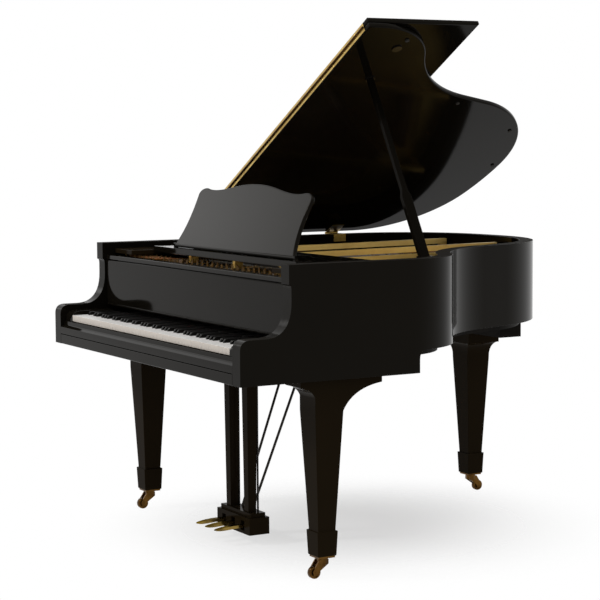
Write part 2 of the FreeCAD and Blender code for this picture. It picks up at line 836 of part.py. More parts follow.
def white_key(note):
    half = (KEY_PITCH - KEY_GAP) / 2
    x = KEY_XS[note]
    clear = SHARP_WIDTH / 2 + KEY_GAP
    left = x - half
    right = x + half
    points = [(right, KEY_FRONT)]
    if note + 1 < NOTE_COUNT and is_sharp(note + 1):
        tail = KEY_XS[note + 1] - clear
        points += [(right, KEY_FRONT + KEY_HEAD), (tail, KEY_FRONT + KEY_HEAD), (tail, KEY_END)]
    else:
        points.append((right, KEY_END))
    if note > 0 and is_sharp(note - 1):
        tail = KEY_XS[note - 1] + clear
        points += [(tail, KEY_END), (tail, KEY_FRONT + KEY_HEAD), (left, KEY_FRONT + KEY_HEAD)]
    else:
        points.append((left, KEY_END))
    return plan_prism((left, KEY_FRONT), lines(points), KEY_LOW, KEY_TOP)


def black_key(note):
    front = KEY_FRONT + KEY_HEAD + KEY_GAP
    stick = KEY_TOP - STICK_DROP
    half = SHARP_WIDTH / 2
    slope = SHARP_END - SHARP_SLOPE
    points = [(front, KEY_TOP + NOSE_RISE), (front + NOSE_RUN, SHARP_TOP), (slope, SHARP_TOP),
              (SHARP_END, stick), (KEY_END, stick), (KEY_END, KEY_LOW)]
    x = KEY_XS[note]
    return side_prism((front, KEY_LOW), lines(points), x - half, x + half)


def hammer(note):
    x = note_x(note, STRIKE_Y)
    half = HAMMER_WIDTH / 2
    low = HAMMER_Z - HAMMER_SHANK / 2
    high = HAMMER_Z + HAMMER_SHANK / 2
    back = HAMMER_HEAD_Y + HAMMER_HEAD_DEEP
    middle = (HAMMER_HEAD_Y + back) / 2
    joint = HAMMER_HEAD_Y + SINK
    corners = [(joint, low), (joint, high), (HAMMER_Y, high)]
    shank = side_prism((HAMMER_Y, low), lines(corners), x - half, x + half)
    felt_low = HAMMER_HEAD_TOP - FELT_SIDE
    felt_round = HAMMER_HEAD_TOP - FELT_ROUND
    steps = [
        [(HAMMER_HEAD_Y, felt_low)],
        [(HAMMER_HEAD_Y, felt_round), (middle, HAMMER_HEAD_TOP)],
        [(back, felt_round), (back, felt_low)],
        [(middle + MOULDING, HAMMER_HEAD_LOW + MOULDING_HIGH)],
        [(middle + MOULDING, HAMMER_HEAD_LOW)],
    ]
    head = side_prism((HAMMER_HEAD_Y, HAMMER_HEAD_LOW), steps, x - half, x + half)
    eye = rod(V(x - half, HAMMER_Y, HAMMER_Z), V(x + half, HAMMER_Y, HAMMER_Z), HAMMER_EYE)
    return fuse([shank, head, eye])


def notes_of(sharp):
    return [note for note in range(NOTE_COUNT) if is_sharp(note) == sharp and note != MIDDLE_C]


def key_frame():
    half = KEYS_HALF - FRAME_SIDE
    wide = BRACKET_X + BRACKET_THICK
    back = KEY_END + FRAME_TAIL
    bead_z = RAIL_TOP - BALANCE_BEAD
    pieces = [
        box(-half, half, FRAME_FRONT, FRONT_RAIL_END, FRAME_LOW, KEYBED_TOP + FRONT_RAIL_HIGH),
        box(-half, half, BALANCE_Y - BALANCE_HALF, BALANCE_Y + BALANCE_HALF, FRAME_LOW, bead_z),
        rod(V(-half, BALANCE_Y, bead_z), V(half, BALANCE_Y, bead_z), BALANCE_BEAD),
        box(-wide, wide, back - BACK_RAIL, back, FRAME_LOW, RAIL_TOP),
    ]
    cross_x = half - CROSS_INSET
    for x in (-cross_x, 0.0, cross_x):
        left = x - CROSS_HALF
        pieces.append(box(left, left + 2 * CROSS_HALF, FRAME_FRONT, back, FRAME_LOW, KEYBED_TOP + CROSS_HIGH))
    return fuse(pieces)


def action_rails():
    wide = BRACKET_X + BRACKET_THICK
    foot = KEY_END + FRAME_TAIL
    rail_low = HAMMER_Z + HAMMER_EYE + GAP
    rail_high = rail_low + RAIL_HIGH
    rest_top = HAMMER_Z - HAMMER_SHANK / 2 - GAP
    rest_front = HAMMER_HEAD_Y - REST_SETBACK
    rest_back = rest_front + REST_WIDE
    bracket_top = HAMMER_Z + BRACKET_HEAD
    bracket_front = HAMMER_Y - BRACKET_ARM
    points = [(foot, RAIL_TOP), (foot, HAMMER_Z - BRACKET_KNEE), (rest_back, HAMMER_Z - BRACKET_HIP),
              (rest_back, rest_top), (HAMMER_Y, bracket_top), (bracket_front, bracket_top),
              (bracket_front, rest_top), (foot - BRACKET_KNEE, HAMMER_Z - BRACKET_ARM)]
    ends = both_sides(side_prism((foot - BACK_RAIL, RAIL_TOP), lines(points), BRACKET_X, wide))
    hammer_rail = box(-wide, wide, HAMMER_Y - RAIL_HIGH, HAMMER_Y - RAIL_CLEAR, rail_low, rail_high)
    rest_rail = box(-wide, wide, rest_front, rest_back, rest_top - REST_HIGH, rest_top)
    return fuse(ends + [hammer_rail, rest_rail])


def damper_size(note):
    """Underside of the felt, underside of the head and top of the head."""
    z, radius = string_size(note)
    low = z + radius + SNUG
    if is_bass(note):
        return low, low + BASS_FELT, low + BASS_FELT + BASS_HEAD
    return low, low + PLAIN_FELT, low + PLAIN_FELT + PLAIN_HEAD


def damper_box(note, z0, z1):
    x = note_x(note, DAMPER_Y) + NOTE_STEP / 4
    half = DAMPER_WIDTH / 2
    return box(x - half, x + half, DAMPER_Y - DAMPER_LENGTH / 2, DAMPER_Y + DAMPER_LENGTH / 2, z0, z1)


def damper_heads():
    tray_top = TRAY_Z + LIFT_TRAY_THICK
    left = note_x(0, DAMPER_Y) - NOTE_STEP
    right = note_x(DAMPER_COUNT - 1, DAMPER_Y) + 2 * NOTE_STEP
    pieces = [box(left, right, DAMPER_Y - LIFT_TRAY_HALF, DAMPER_Y + LIFT_TRAY_HALF, TRAY_Z, tray_top)]
    for note in range(DAMPER_COUNT):
        low, head_low, top = damper_size(note)
        x = note_x(note, DAMPER_Y) + NOTE_STEP / 2
        wire = rod(V(x, DAMPER_Y, tray_top), V(x, DAMPER_Y, top - SINK), WIRE_R)
        pieces.append(fuse([damper_box(note, head_low, top), wire]))
    return group(pieces)


def damper_felts():
    felts = []
    for note in range(DAMPER_COUNT):
        low, head_low, _ = damper_size(note)
        x = note_x(note, DAMPER_Y) + NOTE_STEP / 2
        hole = rod(V(x, DAMPER_Y, low - SINK), V(x, DAMPER_Y, head_low + SINK), WIRE_R + BORE)
        felts.append(damper_box(note, low, head_low).cut(hole))
    return group(felts)


def fallboard():
    half = INNER_X - FALL_SIDE
    back = FALL_FRONT + FALL_THICK
    board = box(-half, half, FALL_FRONT, back, FALL_BOTTOM, FALL_TOP)
    reach = INNER_X + FALL_PIN_REACH - GAP
    pin = rod(V(-reach, FALL_PIN_Y, FALL_PIN_Z), V(reach, FALL_PIN_Y, FALL_PIN_Z), FALL_PIN_R)
    return fuse([board, pin])


def fallboard_felt():
    half = KEYS_HALF + FALL_FELT_SIDE
    front = FALL_FRONT + FALL_FELT_IN
    return box(-half, half, front, front + FALL_FELT_DEEP, FALL_BOTTOM - FALL_FELT_HIGH, FALL_BOTTOM)


def desk_rails():
    shelf = box(SHELF_INNER, INNER_X - GAP, SHELF_FRONT, SHELF_BACK, SHELF_Z, SHELF_Z + SHELF_THICK)
    return group(both_sides(shelf))


def music_tray():
    board = box(-TRAY_HALF, TRAY_HALF, TRAY_FRONT, TRAY_BACK, TRAY_LOW, TRAY_TOP)
    lip_half = SHELF_INNER - LIP_CLEAR
    lip = box(-lip_half, lip_half, TRAY_FRONT - LIP_THICK, TRAY_FRONT, LIP_LOW, LIP_HIGH)
    lug_in = DESK_FOOT + GAP
    lug_out = lug_in + LUG_THICK
    lug = box(lug_in, lug_out, DESK_Y - LUG_HALF, DESK_Y + LUG_HALF, TRAY_TOP - SINK, DESK_Z + LUG_HALF)
    bore = rod(V(-TRAY_HALF, DESK_Y, DESK_Z), V(TRAY_HALF, DESK_Y, DESK_Z), DESK_PIN_R + BORE)
    return fuse([board, lip] + both_sides(lug)).cut(bore)


def desk_pivot():
    """Hinge line of the desk."""
    return V(0, DESK_Y, DESK_Z)


def leaned(shape):
    shape.rotate(desk_pivot(), X_AXIS, -DESK_LEAN)
    return shape


def strut_top():
    """Pin of the desk's strut, behind the leaning board."""
    point = Part.Vertex(0, DESK_Y + STRUT_OFFSET, DESK_Z + STRUT_ARM)
    return leaned(point).Point


def strut_foot():
    """The foot stands at the hinge line's height, so the strut and the desk stay an isosceles pair."""
    return V(0, 2 * strut_top().y - DESK_Y, DESK_Z)


def desk_side(way):
    """Steps of the desk's edge from one foot up to the crest; way is 1 for the right side, -1 for left."""
    shoulder = DESK_FOOT - DESK_SHOULDER_IN
    peak = DESK_FOOT - DESK_PEAK_IN
    dip = DESK_FOOT - DESK_DIP_IN
    peak_v = DESK_PEAK_V
    dip_v = DESK_DIP_V
    steps = [
        [(DESK_FOOT - DESK_SIDE_IN, DESK_SIDE_V), (shoulder, DESK_SHOULDER_V)],
        [(shoulder + CORNER_OUT, DESK_SHOULDER_V + CORNER_RISE), (peak + PEAK_PULL, peak_v + PEAK_RISE),
         (peak, peak_v)],
        [(peak - PEAK_FALL_PULL, peak_v - PEAK_FALL), (dip + DIP_PULL, dip_v - DIP_SAG), (dip, dip_v)],
        [(dip - CREST_PULL, dip_v + CREST_RISE), (dip - CREST_TOP_PULL, DESK_CREST_V), (0.0, DESK_CREST_V)],
    ]
    return [[(way * x, v) for x, v in step] for step in steps]


def backwards(start, steps):
    """The same steps walked from their end to the start."""
    ends = [start] + [step[-1] for step in steps]
    return [list(reversed(step[:-1])) + [end] for step, end in reversed(list(zip(steps, ends)))]


def music_desk():
    half = DESK_THICK / 2
    y0 = DESK_Y - half
    right = desk_side(1)
    left = backwards((-DESK_FOOT, 0.0), desk_side(-1))
    wire = closed_wire((DESK_FOOT, 0.0), right + left, lambda x, v: V(x, y0, DESK_Z + v))
    board = Part.Face(wire).extrude(V(0, DESK_THICK, 0))
    foot = rod(V(-DESK_FOOT, DESK_Y, DESK_Z), V(DESK_FOOT, DESK_Y, DESK_Z), half)
    reach = DESK_FOOT + LUG_THICK
    pin = rod(V(-reach, DESK_Y, DESK_Z), V(reach, DESK_Y, DESK_Z), DESK_PIN_R)
    lug_in = STRUT_HALF + GAP
    arm_z = DESK_Z + STRUT_ARM
    lug_back = DESK_Y + STRUT_OFFSET + STRUT_EYE
    lug = box(lug_in, lug_in + LUG_THICK, DESK_Y, lug_back, arm_z - STRUT_EYE, arm_z + STRUT_EYE)
    pin_y_at = DESK_Y + STRUT_OFFSET
    pin_end = lug_in + SINK
    strut_pin = rod(V(-pin_end, pin_y_at, arm_z), V(pin_end, pin_y_at, arm_z), DESK_PIN_R)
    return leaned(fuse([board, foot, pin, strut_pin] + both_sides(lug)))


def desk_strut():
    top = strut_top()
    foot = strut_foot()
    half = STRUT_THICK / 2
    along = foot - top
    across = V(0, -along.z, along.y)
    across.normalize()
    points = [top + across * half, foot + across * half, foot - across * half, top - across * half]
    flat = [(point.y, point.z) for point in points]
    bar = side_prism(flat[0], lines(flat[1:]), -STRUT_HALF, STRUT_HALF)
    side = V(STRUT_HALF, 0, 0)
    eye = rod(top - side, top + side, STRUT_EYE)
    shoe = rod(foot - side, foot + side, DESK_THICK / 2)
    return fuse([bar, eye, shoe]).cut(rod(top - side * 2, top + side * 2, DESK_PIN_R + BORE))


def lid_hinge():
    return V(LID_AXIS_X, 0, LID_AXIS_Z)


def opened(shape):
    shape.rotate(lid_hinge(), -Y_AXIS, LID_OPEN)
    return shape


def folded(shape):
    shape.rotate(V(0, FLAP_LINE, SEAM_Z), -X_AXIS, 180.0)
    return opened(shape)


def lid_main():
    front = FLAP_LINE + SEAM_SIDE + SEAM_STRIP
    return opened(plan_block(LID_OVERHANG, front, LID_LOW, LID_TOP))


def lid_front():
    back = FLAP_LINE - SEAM_SIDE - SEAM_STRIP
    return folded(box(-LID_EDGE, LID_EDGE, FLAP_LINE - FLAP_DEPTH, back, LID_LOW, LID_TOP))


def seam_strip(side, first):
    """One leaf of the long hinge: a strip on the edge face and every second knuckle."""
    near = FLAP_LINE + side * SEAM_SIDE
    far = near + side * SEAM_STRIP
    low, high = sorted((near, far))
    strip = [box(-SEAM_HALF, SEAM_HALF, low, high, LID_LOW + SEAM_MARGIN, LID_TOP)]
    step = 2 * SEAM_HALF / KNUCKLE_COUNT
    web_low, web_high = sorted((FLAP_LINE, far))
    for index in range(first, KNUCKLE_COUNT, 2):
        x0 = -SEAM_HALF + step * index + GAP
        x1 = x0 + step - 2 * GAP
        strip.append(rod(V(x0, FLAP_LINE, SEAM_Z), V(x1, FLAP_LINE, SEAM_Z), SEAM_BARREL))
        strip.append(box(x0, x1, web_low, web_high, SEAM_Z - SEAM_BARREL, LID_TOP))
    return strip


def hinge_strip_main():
    pin = rod(V(-SEAM_HALF + 1.0, FLAP_LINE, SEAM_Z), V(SEAM_HALF - 1.0, FLAP_LINE, SEAM_Z), SEAM_PIN)
    return opened(fuse(seam_strip(1, 0) + [pin]))


def hinge_strip_front():
    bore = rod(V(-SEAM_HALF - 1.0, FLAP_LINE, SEAM_Z), V(SEAM_HALF + 1.0, FLAP_LINE, SEAM_Z), SEAM_PIN + BORE)
    return folded(fuse(seam_strip(-1, 1)).cut(bore))


def butt_spots():
    return (BUTT_NEAR, BUTT_FAR)


def lid_hinge_case_leaves():
    leaves = []
    third = BUTT_LENGTH / 3
    for y in butt_spots():
        start = y - BUTT_LENGTH / 2
        end = y + BUTT_LENGTH / 2
        pieces = [box(-HALF_WIDTH, -INNER_X + BUTT_LEAF, start, end, RIM_TOP, RIM_TOP + BUTT_LEAF),
                  box(-INNER_X, -INNER_X + BUTT_LEAF, start, end, RIM_TOP - BUTT_DROP, RIM_TOP)]
        for y0 in (start, end - third + GAP):
            y1 = y0 + third - GAP
            pieces.append(rod(V(LID_AXIS_X, y0, LID_AXIS_Z), V(LID_AXIS_X, y1, LID_AXIS_Z), BUTT_R))
            pieces.append(box(LID_AXIS_X, -HALF_WIDTH, y0, y1, RIM_TOP, RIM_TOP + BUTT_LEAF))
        pieces.append(rod(V(LID_AXIS_X, start, LID_AXIS_Z), V(LID_AXIS_X, end, LID_AXIS_Z), BUTT_PIN))
        leaves.append(fuse(pieces))
    return group(leaves)


def lid_hinge_lid_leaves():
    leaves = []
    third = BUTT_LENGTH / 3
    leaf_low = LID_LOW - BUTT_LEAF
    for y in butt_spots():
        y0 = y - third / 2 + GAP / 2
        y1 = y + third / 2 - GAP / 2
        barrel = rod(V(LID_AXIS_X, y0, LID_AXIS_Z), V(LID_AXIS_X, y1, LID_AXIS_Z), BUTT_R)
        tongue = box(LID_AXIS_X, -LID_EDGE + 2.0, y0, y1, leaf_low, LID_LOW)
        leaf = box(-LID_EDGE + 1.0, -INNER_X, y - BUTT_LENGTH / 2, y + BUTT_LENGTH / 2, leaf_low, LID_LOW)
        bore = rod(V(LID_AXIS_X, y0 - 1.0, LID_AXIS_Z), V(LID_AXIS_X, y1 + 1.0, LID_AXIS_Z), BUTT_PIN + BORE)
        leaves.append(opened(fuse([barrel, tongue, leaf]).cut(bore)))
    return group(leaves)


def prop_axis():
    return V(PROP_X, PROP_Y, PROP_Z)


def lid_along():
    a = math.radians(LID_OPEN)
    return V(math.cos(a), 0, math.sin(a))


def lid_out():
    a = math.radians(LID_OPEN)
    return V(-math.sin(a), 0, math.cos(a))


def prop_length():
    """From the prop's pin to its tip under the cup, square to the open lid."""
    below = (prop_axis() - lid_hinge()).dot(lid_out())
    return LID_LOW - LID_AXIS_Z - below - CUP_DEEP - GAP


def cup_u():
    """Where the prop meets the lid, along the lid from its hinge line."""
    return (prop_axis() - lid_hinge()).dot(lid_along())


def prop_cups():
    cups = []
    for u in (cup_u(), cup_u() + LOW_CUP_STEP):
        x = LID_AXIS_X + u
        cups.append(opened(rod(V(x, PROP_Y, LID_LOW - CUP_DEEP), V(x, PROP_Y, LID_LOW), CUP_R)))
    return group(cups)


def lid_bumpers():
    pads = []
    inset = RIM_THICK / 2
    spans = bends(-inset)
    places = [spans[0][1], spans[1][2], spans[3][1], spans[3][2]]
    for x, y in places:
        pads.append(opened(rod(V(x, y, RIM_TOP + GAP), V(x, y, LID_LOW), BUMPER_R)))
    return group(pads)


def lid_prop():
    length = prop_length()
    half = PROP_THICK / 2
    wide = PROP_WIDE / 2
    narrow = PROP_NARROW / 2
    foot = prop_axis()
    waist = foot.z + length * PROP_WAIST
    neck = waist + PROP_WAIST_RUN
    tip = foot.z + length
    points = [(PROP_Y + wide, foot.z), (PROP_Y + wide, waist),
              (PROP_Y + narrow, neck), (PROP_Y + narrow, tip),
              (PROP_Y - narrow, tip), (PROP_Y - narrow, neck), (PROP_Y - wide, waist)]
    stick = side_prism((PROP_Y - wide, foot.z), lines(points), PROP_X - half, PROP_X + half)
    eye = rod(V(PROP_X, PROP_Y - wide, foot.z), V(PROP_X, PROP_Y + wide, foot.z), half)
    bore = rod(V(PROP_X, PROP_Y - wide - 1, foot.z), V(PROP_X, PROP_Y + wide + 1, foot.z), PROP_PIN + BORE)
    prop = fuse([stick, eye]).cut(bore)
    prop.rotate(foot, -Y_AXIS, LID_OPEN)
    return prop


def prop_bracket():
    inner = PROP_WIDE / 2 + GAP
    outer = inner + EAR_THICK
    ear_in = PROP_X - PROP_THICK / 2
    wall_x = PROP_X + PROP_THICK / 2 + PROP_CLEAR
    low = PROP_Z - BRACKET_DROP
    high = RIM_TOP - SINK
    space = plan_block(-RIM_THICK - SNUG, BELLY_FRONT, low, high)
    pieces = [box(wall_x, HALF_WIDTH, PROP_Y - outer, PROP_Y + outer, low, high).common(space)]
    for side in (-1, 1):
        y0, y1 = sorted((PROP_Y + side * inner, PROP_Y + side * outer))
        pieces.append(box(ear_in, wall_x + SINK, y0, y1, PROP_Z - EAR_DROP, high))
    pieces.append(rod(V(PROP_X, PROP_Y - outer, PROP_Z), V(PROP_X, PROP_Y + outer, PROP_Z), PROP_PIN))
    return fuse(pieces)


def tapered(x, y, z0, wide0, z1, wide1):
    """A square post with straight tapering sides."""
    wires = []
    for z, wide in ((z0, wide0), (z1, wide1)):
        h = wide / 2
        corners = [V(x - h, y - h, z), V(x + h, y - h, z), V(x + h, y + h, z), V(x - h, y + h, z)]
        wires.append(Part.makePolygon(corners + corners[:1]))
    return Part.makeLoft(wires, True, True)


def leg(x, y, top, cove_front, front_z, cove_back, back_z):
    """A square leg with a coved head block, a tapering shaft and a cuff bored for the caster stem."""
    half = LEG_WIDE / 2
    block = top - LEG_HEAD
    fall = top - LEG_HEAD - LEG_COVE_Z
    front = y - half
    back = y + half
    steps = [
        [(back + COVE_PULL * cove_back, block - COVE_PULL_Z * back_z), (back + cove_back, block)],
        [(back + cove_back, top)],
        [(front - cove_front, top)],
        [(front - cove_front, block)],
        [(front - COVE_PULL * cove_front, block - COVE_PULL_Z * front_z), (front, block - front_z)],
        [(front, fall)],
    ]
    if back_z < LEG_COVE_Z:
        steps.append([(back, fall)])
    head = side_prism((back, block - back_z), steps, x - half, x + half)
    shaft = tapered(x, y, CUFF_TOP, LEG_NARROW, fall, LEG_WIDE)
    cuff = tapered(x, y, CUFF_BOTTOM, CUFF_NARROW, CUFF_TOP, CUFF_WIDE)
    return fuse([head, shaft, cuff])


def front_leg(x):
    return leg(x, LEG_Y, DEEP_BOTTOM, COVE_FRONT, COVE_FRONT_Z, COVE_BACK, LEG_COVE_Z)


def leg_rear():
    top = INNER_BOTTOM - TAIL_BLOCK_DROP
    return leg(REAR_LEG_X, REAR_LEG_Y, top, COVE_REAR_LEG, COVE_REAR_LEG_Z, COVE_REAR_LEG, COVE_REAR_LEG_Z)


def caster_plates():
    plates = []
    low = CUFF_BOTTOM - CASTER_PLATE
    half = CUFF_NARROW / 2 - PLATE_INSET
    for x, y, _ in LEG_SPOTS:
        plate = box(x - half, x + half, y - half, y + half, low, CUFF_BOTTOM)
        plates.append(fuse([plate, rod(V(x, y, low - STEM_LENGTH), V(x, y, low + SINK), STEM_R)]))
    return group(plates)


def caster_fork(x, y, way):
    """Swivel head, two arms trailing behind the stem and the wheel's axle."""
    top = CUFF_BOTTOM - CASTER_PLATE - GAP
    arm_in = WHEEL_WIDE / 2 + GAP
    head = rod(V(x, y, FORK_TOP - FORK_HEAD_DEEP), V(x, y, top), FORK_HEAD_R)
    high = WHEEL_R + FORK_RISE
    low = WHEEL_R - FORK_DROP
    points = [(FORK_NOSE, FORK_TOP), (-FORK_HEAD_R, FORK_TOP), (-TRAIL - FORK_FLARE, high),
              (-TRAIL - FORK_FOOT, low), (-TRAIL + FORK_FOOT, low), (-TRAIL + FORK_FLARE, high),
              (FORK_NOSE, FORK_TOP - FORK_HEAD_DEEP)]
    flat = [(y + way * dy, z) for dy, z in points]
    pieces = [head]
    for side in (-1, 1):
        x0, x1 = sorted((x + side * arm_in, x + side * (arm_in + FORK_ARM)))
        pieces.append(side_prism(flat[0], lines(flat[1:]), x0, x1))
    reach = arm_in + FORK_ARM
    axle_y = y - way * TRAIL
    pieces.append(rod(V(x - reach, axle_y, WHEEL_R), V(x + reach, axle_y, WHEEL_R), AXLE_R))
    stem_low = CUFF_BOTTOM - CASTER_PLATE - STEM_LENGTH - GAP
    bore = rod(V(x, y, stem_low), V(x, y, top + 1.0), STEM_R + BORE)
    return fuse(pieces).cut(bore)


def caster_wheel(x, y, way):
    half = WHEEL_WIDE / 2
    axle_y = y - way * TRAIL
    wheel = rod(V(x - half, axle_y, WHEEL_R), V(x + half, axle_y, WHEEL_R), WHEEL_R)
    rims = [edge for edge in wheel.Edges if len(edge.Vertexes) == 1]
    wheel = wheel.makeFillet(WHEEL_ROUND, rims)
    return wheel.cut(rod(V(x - half - 1, axle_y, WHEEL_R), V(x + half + 1, axle_y, WHEEL_R), AXLE_R + BORE))


def rod_hole(x, z0, z1):
    return rod(V(x, ROD_Y, z0), V(x, ROD_Y, z1), ROD_R + GAP)


def lyre_posts():
    posts = [tapered(x, LYRE_Y, LYRE_TOP_Z, POST_BOTTOM, DEEP_BOTTOM, POST_TOP) for x in (-POST_X, POST_X)]
    reach = POST_X + POST_TOP / 2 + LYRE_RAIL_OVER
    high = LYRE_RAIL_Z + LYRE_RAIL_HIGH
    rail = box(-reach, reach, LYRE_Y + POST_BOTTOM / 2, LYRE_RAIL_BACK, LYRE_RAIL_Z, high)
    return fuse(posts + [rail]).cut([rod_hole(x, LYRE_RAIL_Z - 1, high + 1) for x in PEDAL_XS])


def pedal_box():
    body = box(-BOX_HALF, BOX_HALF, BOX_FRONT, BOX_BACK, BOX_BOTTOM, BOX_TOP)
    inset = BOX_STEP_INSET
    step_half = BOX_HALF - inset
    step = box(-step_half, step_half, BOX_FRONT + inset, BOX_BACK - inset, BOX_TOP - SINK, LYRE_TOP_Z)
    cuts = []
    half = PEDAL_WIDE / 2 + PEDAL_SLOT_SIDE
    for x in PEDAL_XS:
        slot_end = PEDAL_END + PEDAL_SLOT_END
        cuts.append(box(x - half, x + half, BOX_FRONT - SINK, slot_end, PEDAL_SLOT_LOW, PEDAL_SLOT_HIGH))
        cuts.append(rod_hole(x, PEDAL_SLOT_HIGH - 1, LYRE_TOP_Z + 1))
    reach = PEDAL_PITCH + PEDAL_WIDE
    cuts.append(rod(V(-reach, PEDAL_Y, PEDAL_Z), V(reach, PEDAL_Y, PEDAL_Z), PEDAL_PIN + BORE))
    return fuse([body, step]).cut(cuts)


def pedal(x):
    half = PEDAL_WIDE / 2
    low = PEDAL_Z - PEDAL_THICK / 2
    high = PEDAL_Z + PEDAL_THICK / 2
    neck = BOX_FRONT - PEDAL_NECK
    steps = [
        [(PEDAL_END, low)],
        [(PEDAL_END, high)],
        [(neck, high)],
        [(PEDAL_TIP + TOE_PULL_TOP, high), (PEDAL_TIP + TOE_PULL, high - TOE_DROP / 2), (PEDAL_TIP, low)],
        [(PEDAL_TIP + TOE_PULL, low - TOE_DROP), (PEDAL_TIP + TOE_PULL_LOW, low), (neck, low)],
    ]
    lever = side_prism(steps[-1][-1], steps, x - half, x + half)
    toe = rod(V(x, PEDAL_TIP + half, 0), V(x, PEDAL_TIP + half, PEDAL_SLOT_HIGH), half)
    shank = box(x - half, x + half, PEDAL_TIP + half, PEDAL_END, 0, PEDAL_SLOT_HIGH)
    lever = lever.common(fuse([toe, shank]))
    reach = half + PEDAL_PIN_REACH
    return fuse([lever, rod(V(x - reach, PEDAL_Y, PEDAL_Z), V(x + reach, PEDAL_Y, PEDAL_Z), PEDAL_PIN)])


def pedal_rod(x):
    return rod(V(x, ROD_Y, PEDAL_Z + PEDAL_THICK / 2 + GAP), V(x, ROD_Y, ROD_TOP), ROD_R)


def lyre_braces():
    braces = []
    slab = box(-CASE_WIDTH, CASE_WIDTH, 0, TAIL_Y, LYRE_TOP_Z, DEEP_BOTTOM)
    for side in (-1, 1):
        foot = V(side * BRACE_X, BRACE_FOOT_Y, LYRE_TOP_Z)
        top = V(side * BRACE_TOP_X, BRACE_TOP_Y, DEEP_BOTTOM)
        over = (top - foot) * 0.05
        braces.append(rod(foot - over, top + over, BRACE_R).common(slab))
    return group(braces)


def nodes():
    """Every node's name and shape, as the piano stands with its lid up."""
    made = {
        "outer_rim": outer_rim(),
        "inner_rim": inner_rim(),
        "keybed": keybed(),
        "key_slip": key_slip(),
        "key_blocks": key_blocks(),
        "stretcher": stretcher(),
        "case_beams": case_beams(),
        "soundboard": soundboard(),
        "soundboard_ribs": soundboard_ribs(),
        "bridges": bridges(),
        "pinblock": pinblock(),
        "iron_plate": iron_plate(),
        "string_pins": string_pins(),
        "plain_strings": plain_strings(),
        "wound_strings": wound_strings(),
        "lid_hinge_case_leaves": lid_hinge_case_leaves(),
        "prop_bracket": prop_bracket(),
        "desk_rails": desk_rails(),
        "leg_front_left": front_leg(-LEG_X),
        "leg_front_right": front_leg(LEG_X),
        "leg_rear": leg_rear(),
        "caster_plates": caster_plates(),
        "lyre_posts": lyre_posts(),
        "pedal_box": pedal_box(),
        "lyre_braces": lyre_braces(),
        "lid_main": lid_main(),
        "hinge_strip_main": hinge_strip_main(),
        "lid_hinge_lid_leaves": lid_hinge_lid_leaves(),
        "prop_cups": prop_cups(),
        "lid_bumpers": lid_bumpers(),
        "lid_front": lid_front(),
        "hinge_strip_front": hinge_strip_front(),
        "lid_prop": lid_prop(),
        "fallboard": fallboard(),
        "fallboard_felt": fallboard_felt(),
        "music_tray": music_tray(),
        "music_desk": music_desk(),
        "desk_strut": desk_strut(),
        "key_frame": key_frame(),
        "action_rails": action_rails(),
        "white_keys": group(white_key(note) for note in notes_of(False)),
        "black_keys": group(black_key(note) for note in notes_of(True)),
        "middle_c_key": white_key(MIDDLE_C),
        "white_hammers": group(hammer(note) for note in notes_of(False)),
        "black_hammers": group(hammer(note) for note in notes_of(True)),
        "middle_c_hammer": hammer(MIDDLE_C),
        "damper_heads": damper_heads(),
        "damper_felts": damper_felts(),
    }
    for name, x in zip(("left", "middle", "right"), PEDAL_XS):
        made["pedal_" + name] = pedal(x)
        made["pedal_rod_" + name] = pedal_rod(x)
    for name, (x, y, way) in zip(("front_left", "front_right", "rear"), LEG_SPOTS):
        made["caster_fork_" + name] = caster_fork(x, y, -way)
        made["caster_wheel_" + name] = caster_wheel(x, y, -way)
    return made


def main():
    os.makedirs("parts", exist_ok=True)
    for name, shape in nodes().items():
        shape.translate(V(0, -MID_Y, 0))
        shape.exportStep("parts/" + name + ".step")


if __name__ == "__main__":
    main()
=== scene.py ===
import json
import logging
import math
from dataclasses import dataclass
from enum import Enum
from typing import Callable, Optional, Sequence, Union

import bmesh
import bpy
import numpy as np
from mathutils import Matrix

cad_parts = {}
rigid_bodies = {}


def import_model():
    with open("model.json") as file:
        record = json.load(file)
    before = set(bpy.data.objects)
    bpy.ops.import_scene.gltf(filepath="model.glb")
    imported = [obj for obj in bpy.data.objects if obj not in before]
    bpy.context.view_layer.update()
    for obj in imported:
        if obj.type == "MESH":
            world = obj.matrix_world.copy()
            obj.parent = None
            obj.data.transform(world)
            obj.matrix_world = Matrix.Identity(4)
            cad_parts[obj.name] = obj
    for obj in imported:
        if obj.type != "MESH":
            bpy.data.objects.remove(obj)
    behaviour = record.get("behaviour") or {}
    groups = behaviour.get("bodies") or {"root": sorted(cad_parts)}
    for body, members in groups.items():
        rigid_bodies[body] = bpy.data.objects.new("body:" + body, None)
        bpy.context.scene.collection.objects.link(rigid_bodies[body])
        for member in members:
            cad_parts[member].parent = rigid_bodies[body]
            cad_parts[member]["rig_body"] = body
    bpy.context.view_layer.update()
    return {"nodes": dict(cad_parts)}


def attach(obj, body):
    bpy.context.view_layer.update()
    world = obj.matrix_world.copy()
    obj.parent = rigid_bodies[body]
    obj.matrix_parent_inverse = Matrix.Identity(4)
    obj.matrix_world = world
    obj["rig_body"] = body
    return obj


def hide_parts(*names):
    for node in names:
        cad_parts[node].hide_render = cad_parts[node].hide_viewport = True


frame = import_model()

# A baby grand piano, dressed. Shapes are worked out on the bench in millimetres, with x = 0 the
# middle of the case, y = 0 a little before the arms and z = 0 the floor. When they become meshes they
# are moved so that the middle of the piano's length is at y = 0, as it is in the frame of the solids.

LOG = logging.getLogger("piano")
MM = 0.001
REAR_LEG = (-288.0, 1539.0)

Points = np.ndarray
Colour = tuple[float, float, float]
Triple = tuple[float, float, float]
Pair = tuple[float, float]
Profile = tuple[Pair, ...]
Numbers = tuple[float, ...]
Feed = Union["Value", float, tuple, None]


